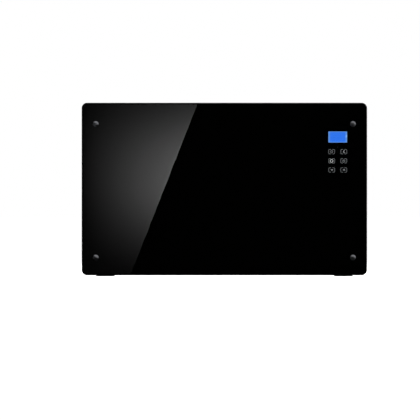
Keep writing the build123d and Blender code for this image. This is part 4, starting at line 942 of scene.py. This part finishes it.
foot_screws_low, foot_screws_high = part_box("foot_screws")
foot_head_radius = 4.75 * mm
foot_head_height = 3.0 * mm
foot_low, foot_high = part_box("foot_right")
foot_x = (foot_low.x + foot_high.x) / 2
foot_screw_half = foot_screws_high.x - foot_head_radius - foot_x
foot_screw_z = (foot_screws_low.z + foot_screws_high.z) / 2
foot_seat = foot_screws_high.y - foot_head_height
foot_screw_heads = copies(
    screw_head(foot_head_radius, foot_head_height, "hexagon"),
    [
        facing((side * foot_x + step * foot_screw_half, foot_seat, foot_screw_z), (0, 1, 0))
        for side in (-1, 1)
        for step in (-1, 1)
    ],
    "foot_screw_heads",
)
paint(foot_screw_heads, black_zinc)
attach(foot_screw_heads, "heater")
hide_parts("foot_screws")

# ---- cable gland
# A moulded nylon gland: a hexagon against the cover and a dome nut with grip ribs, which squeezes
# a rubber seal round the cord.
dress(black_nylon, "cable_gland", "gland_nut")
dress(black_rubber, "gland_seal")

gland_low, gland_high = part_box("gland_cap")
gland_x = (gland_low.x + gland_high.x) / 2
gland_z = (gland_low.z + gland_high.z) / 2
rib_count = 24
rib_radius = 0.45 * mm
rib_margin = 0.4 * mm
nut_radius = (gland_high.x - gland_low.x) / 2
nut_length = gland_high.y - gland_low.y
nut_end_round = 3.4 * mm
nut_hole_radius = 4.2 * mm
sleeve_radius = 8.05 * mm
sleeve_depth = 8.0 * mm
body_radius = nut_radius - rib_radius
body_end = nut_length - nut_end_round
round_steps = 6
round_turns = [step * pi / 2 / round_steps for step in range(1, round_steps + 1)]
nut_outline = [
    (sleeve_radius, sleeve_depth), (sleeve_radius, 0), (body_radius, 0), (body_radius, body_end),
] + [
    (body_radius - nut_end_round * (1 - cos(turn)), nut_length - nut_end_round * (1 - sin(turn)))
    for turn in round_turns
] + [(nut_hole_radius, nut_length), (nut_hole_radius, sleeve_depth)]
dome_nut = revolve("dome_nut", nut_outline, steps=96, closed=True)
rib_length = body_end - 2 * rib_margin
rib_turns = [2 * pi * index / rib_count for index in range(rib_count)]
deselect_all()
bpy.ops.mesh.primitive_cylinder_add(
    vertices=10,
    radius=rib_radius,
    depth=rib_length,
    location=(0, rib_length / 2 + rib_margin, 0),
    rotation=(pi / 2, 0, 0),
)
grip_ribs = copies(
    bpy.context.object,
    [Matrix.Translation((body_radius * cos(turn), 0, body_radius * sin(turn))) for turn in rib_turns],
    "grip_ribs",
)
gland_dome_nut = join([dome_nut, grip_ribs], "gland_dome_nut")
gland_dome_nut.location = (gland_x, gland_low.y, gland_z)
settle(gland_dome_nut)
smooth(gland_dome_nut, 35)
paint(gland_dome_nut, black_nylon)
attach(gland_dome_nut, "heater")
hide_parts("gland_cap")

# ---- feet
# Two feet of 1.6 mm steel strip, each with a taller plate welded on behind the cover and a
# gusset between them, powder-coated with the cover. Rubber pads are pushed in underneath.
dress(black_rubber, "foot_pads")

strip_top = foot_low.z + 1.6 * mm
plate_back = foot_seat
plate_weld_half = (foot_high.x - foot_low.x) / 2 - 6 * mm
gusset_half = 1.0 * mm
gusset_end = plate_back + 36.0 * mm
weld_short = 2 * mm
weld_radius = 1.1 * mm
weld_pitch = 1.6 * mm


def weld_places(start, end, size):
    """Where the overlapping beads of a fillet weld lie along a corner, and their size."""
    start, end = Vector(start), Vector(end)
    count = max(2, int((end - start).length / weld_pitch))
    return [
        Matrix.Translation(start.lerp(end, index / count)) @ Matrix.Scale(size, 4)
        for index in range(count + 1)
    ]


bead_places = []
for centre in (-foot_x, foot_x):
    for part in (-1, 1):
        bead_places += weld_places(
            (centre + part * (gusset_half + 1 * mm), plate_back, strip_top),
            (centre + part * plate_weld_half, plate_back, strip_top),
            1.0,
        )
        bead_places += weld_places(
            (centre + part * gusset_half, plate_back + weld_short, strip_top),
            (centre + part * gusset_half, gusset_end - weld_short, strip_top),
            0.8,
        )
deselect_all()
bpy.ops.mesh.primitive_uv_sphere_add(segments=10, ring_count=6, radius=weld_radius)
foot_welds = copies(bpy.context.object, bead_places, "foot_welds")
pick(foot_welds)
bpy.ops.object.shade_smooth()
paint(foot_welds, powder_coat)
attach(foot_welds, "heater")

# ---- floor and backdrop
# A plain white floor that runs into a white surround. The floor shows shadows; what the camera,
# mirrors and clear glass see of the surround is white.


def seen_by_eye(tree):
    """A node: 1 for rays from the camera, mirrors or clear glass, and 0 for plain light."""
    rays = add_node(tree, "LightPath").outputs
    mirrored = add_node(tree, "Math", {
        "operation": "MAXIMUM", "Value": rays["Is Camera Ray"], "Value_001": rays["Is Glossy Ray"],
    })
    return add_node(tree, "Math", {
        "operation": "MAXIMUM", "Value": mirrored, "Value_001": rays["Is Transmission Ray"],
    })


white = (1, 1, 1, 1)
floor_width = 300.0
floor_lift = 0.55
ambient = 0.55
deselect_all()
bpy.ops.mesh.primitive_plane_add(size=floor_width)
studio_floor = bpy.context.object
studio_floor.name = "studio_floor"
floor_paint = bpy.data.materials.new("studio_white")
tree = empty_tree(floor_paint)
matt = add_node(tree, "BsdfDiffuse", {"Color": linear("#f2f2f2")})
lift_level = add_node(tree, "MapRange", {
    "To Min": 0.0, "To Max": floor_lift, "Value": seen_by_eye(tree),
})
lift = add_node(tree, "Emission", {"Color": white, "Strength": lift_level})
floor_mix = add_node(tree, "AddShader", {"Shader": matt, "Shader_001": lift})
add_node(tree, "OutputMaterial", {"Surface": floor_mix})
paint(studio_floor, floor_paint)

surround = bpy.data.worlds.new("studio_surround")
bpy.context.scene.world = surround
tree = empty_tree(surround)
brightness = add_node(tree, "MapRange", {
    "To Min": ambient, "To Max": 1.0, "Value": seen_by_eye(tree),
})
light = add_node(tree, "Background", {"Color": white, "Strength": brightness})
add_node(tree, "OutputWorld", {"Surface": light})

# ---- camera
# A long lens straight on, from a little to the left of the middle of the glass and a little under
# it, so that the glass fills two thirds of the frame's width.
view_distance = 20.0
glass_pixels = 285.4
picture_pixels = 420
picture_middle = picture_pixels / 2
glass_middle_pixel = (224.375, 189.06)
sensor_width = 36.0
metres_per_pixel = glass_size.x / glass_pixels
camera_x = (picture_middle - glass_middle_pixel[0]) * metres_per_pixel
camera_z = glass_middle.z - (picture_middle - glass_middle_pixel[1]) * metres_per_pixel
camera_place = Vector((camera_x, glass_low.y - view_distance, camera_z))
deselect_all()
bpy.ops.object.camera_add(location=camera_place, rotation=(pi / 2, 0, 0))
camera = bpy.context.object
camera.data.sensor_width = sensor_width
camera.data.lens = sensor_width * view_distance / (picture_pixels * metres_per_pixel)
camera.data.clip_start = 0.1
camera.data.clip_end = 400.0
bpy.context.scene.camera = camera

# ---- flags and light panel
# Black flags before the glass keep the white surround out of it, and one panel of light with a
# slanted edge draws the soft sheen on its left. The camera and plain light pass them by.


def reflected(x, z, distance):
    """Where a line from the camera by way of (x, z) on the glass is, at a distance in front."""
    spread = 1 + distance / view_distance
    return Vector((
        camera_place.x + (x - camera_place.x) * spread,
        glass_low.y - distance,
        camera_place.z + (z - camera_place.z) * spread,
    ))


def plain_card(name, corners, level):
    """A flat card of one even brightness between four corners, for mirrors and clear glass only."""
    mesh = bpy.data.meshes.new(name)
    mesh.from_pydata(corners, [], [(0, 1, 2, 3)])
    card = bpy.data.objects.new(name, mesh)
    bpy.context.scene.collection.objects.link(card)
    cloth = bpy.data.materials.new(name)
    tree = empty_tree(cloth)
    glow = add_node(tree, "Emission", {"Color": white, "Strength": level})
    add_node(tree, "OutputMaterial", {"Surface": glow})
    cloth.cycles.emission_sampling = "NONE"
    paint(card, cloth)
    card.visible_camera = False
    card.visible_diffuse = False
    card.visible_volume_scatter = False
    card.visible_shadow = False
    return card


def upright_card(name, start, end, low, high, level):
    """A plain card that stands between two (x, y) spots."""
    plain_card(name, [(*start, low), (*end, low), (*end, high), (*start, high)], level)


flag_distance = 26.0
wall_y = glass_low.y - flag_distance
wall_half = 14.0
side_x = 7.0
side_back = 0.4
upright_card("flag_behind_camera", (-wall_half, wall_y), (wall_half, wall_y), -1, 14.0, 0.0)
upright_card("flag_at_left", (-side_x, wall_y), (-side_x, side_back), 0, 7.0, 0.02)

# A dark mat covers the floor before the heater, and a black runner lies on it.
mat_end = glass_low.y - 1 * mm
for name, far_half, near_half, height, level in (
    ("floor_mat", side_x, side_x, 0.5 * mm, 0.14),
    ("floor_runner", 1.3, 0.47, 1 * mm, 0.0),
):
    plain_card(
        name,
        [(-far_half, wall_y, height), (far_half, wall_y, height),
         (near_half, mat_end, height), (-near_half, mat_end, height)],
        level,
    )

# The panel's own shape, in the places on the glass where its edges show.
panel_distance = 0.7
panel_corner = 11 * mm
sheen_margin = 4.5 * mm
sheen_low = glass_low.z + sheen_margin
sheen_high = glass_high.z - sheen_margin
sheen_left = glass_low.x + sheen_margin
slash_low_x = -262 * mm
slash_high_x = -76.5 * mm
panel_corners = [
    reflected(sheen_left, sheen_low, panel_distance),
    reflected(slash_low_x, sheen_low, panel_distance),
    reflected(slash_high_x, sheen_high, panel_distance),
    reflected(sheen_left, sheen_high, panel_distance),
]
light_panel = plain_card("light_panel", panel_corners, 1.0)
begin_edit(light_panel)
select_where("VERT", lambda spot, normal: abs(spot.x - panel_corners[0].x) < mm)
bpy.ops.mesh.bevel(offset=panel_corner, segments=6, affect="VERTICES")
end_edit()

# Its brightness falls off to the left, in a curve that bows more towards the top, and to its top
# and bottom from a little above the middle, with a thin brighter line along the slanted edge.
left_share = 0.12
bow_heights = (9 * mm, 486 * mm)
bow_powers = (0.885, 0.73)
rise_heights = (-56 * mm, 282 * mm)
fall_heights = (675 * mm, 304 * mm)
edge_line_reach = (5 * mm, 3 * mm)
edge_line_gain = 1.12


def panel_heights(heights):
    """A range between two heights on the glass, for a MapRange node on the panel."""
    low, high = (reflected(0, z, panel_distance).z for z in heights)
    return {"From Min": low, "From Max": high, "Value": axes["Z"]}


tree = empty_tree(light_panel.data.materials[0])
place = add_node(tree, "TexCoord").outputs["Object"]
axes = add_node(tree, "SeparateXYZ", {"Vector": place}).outputs
slash_low, slash_high = panel_corners[1:3]
slash_lean = (slash_high.x - slash_low.x) / (slash_high.z - slash_low.z)
slash_x = add_node(tree, "Math", {
    "operation": "MULTIPLY_ADD", "Value": axes["Z"], "Value_001": slash_lean,
    "Value_002": slash_low.x - slash_lean * slash_low.z,
})
across = add_node(tree, "MapRange", {
    "From Min": panel_corners[0].x, "From Max": slash_x, "Value": axes["X"],
})
bow = add_node(tree, "MapRange", {
    **panel_heights(bow_heights), "To Min": bow_powers[0], "To Max": bow_powers[1],
})
bowed = add_node(tree, "Math", {"operation": "POWER", "Value": across, "Value_001": bow})
rising, falling = (
    add_node(tree, "MapRange", {**panel_heights(heights), "interpolation_type": "SMOOTHSTEP"})
    for heights in (rise_heights, fall_heights)
)
upright = add_node(tree, "Math", {"operation": "MULTIPLY", "Value": rising, "Value_001": falling})
at_left = add_node(tree, "Math", {
    "operation": "MULTIPLY", "Value": upright, "Value_001": left_share,
})
from_left = add_node(tree, "Math", {
    "operation": "MULTIPLY_ADD", "Value": bowed, "Value_001": 1 - left_share, "Value_002": at_left,
})
before_slash = add_node(tree, "Math", {
    "operation": "SUBTRACT", "Value": slash_x, "Value_001": axes["X"],
})
edge_line = add_node(tree, "MapRange", {
    "From Min": edge_line_reach[0], "From Max": edge_line_reach[1],
    "To Min": 1.0, "To Max": edge_line_gain, "Value": before_slash,
})
edged = add_node(tree, "Math", {
    "operation": "MULTIPLY", "Value": from_left, "Value_001": edge_line,
})
value = add_node(tree, "Math", {"operation": "MULTIPLY", "Value": edged, "Value_001": upright})
# The peak shows as a shade of 78 of 255 in the glass, which mirrors a 23rd of the light. A shade
# turns to light by its 2.4th power, after a small lift.
sheen_peak = 78 / 255
mirror_share = 0.0426
shade_lift = 0.055
shade_power = 2.4
lifted = add_node(tree, "Math", {
    "operation": "MULTIPLY_ADD", "Value": value,
    "Value_001": sheen_peak / (1 + shade_lift), "Value_002": shade_lift / (1 + shade_lift),
})
power = add_node(tree, "Math", {"operation": "POWER", "Value": lifted, "Value_001": shade_power})
strength = add_node(tree, "Math", {
    "operation": "MULTIPLY", "Value": power, "Value_001": 1 / mirror_share,
})
panel_glow = add_node(tree, "Emission", {"Color": white, "Strength": strength})
add_node(tree, "OutputMaterial", {"Surface": panel_glow})

# ---- lamps
# Four large soft boxes round the heater, above it and aimed at the middle of the glass. Those on
# the right are at least twice as strong, and only the rear ones show in glossy surfaces.
lamp_distance = 4.0
lamp_size = 1.8
for name, azimuth, elevation, watts, mirrored in (
    ("lamp_front_right", 48, 42, 120, False),
    ("lamp_front_left", -60, 40, 60, False),
    ("lamp_rear_right", 150, 35, 130, True),
    ("lamp_rear_left", -120, 45, 50, True),
):
    away = Vector((
        sin(radians(azimuth)) * cos(radians(elevation)),
        -cos(radians(azimuth)) * cos(radians(elevation)),
        sin(radians(elevation)),
    ))
    lamp_place = Vector((0, 0, glass_middle.z)) + away * lamp_distance
    deselect_all()
    bpy.ops.object.light_add(type="AREA", location=lamp_place)
    lamp = bpy.context.object
    lamp.name = name
    lamp.data.shape = "SQUARE"
    lamp.data.size = lamp_size
    lamp.data.energy = watts
    lamp.visible_glossy = mirrored
    lamp.rotation_euler = away.to_track_quat("Z", "Y").to_euler()

bpy.context.scene.view_settings.view_transform = "Standard"
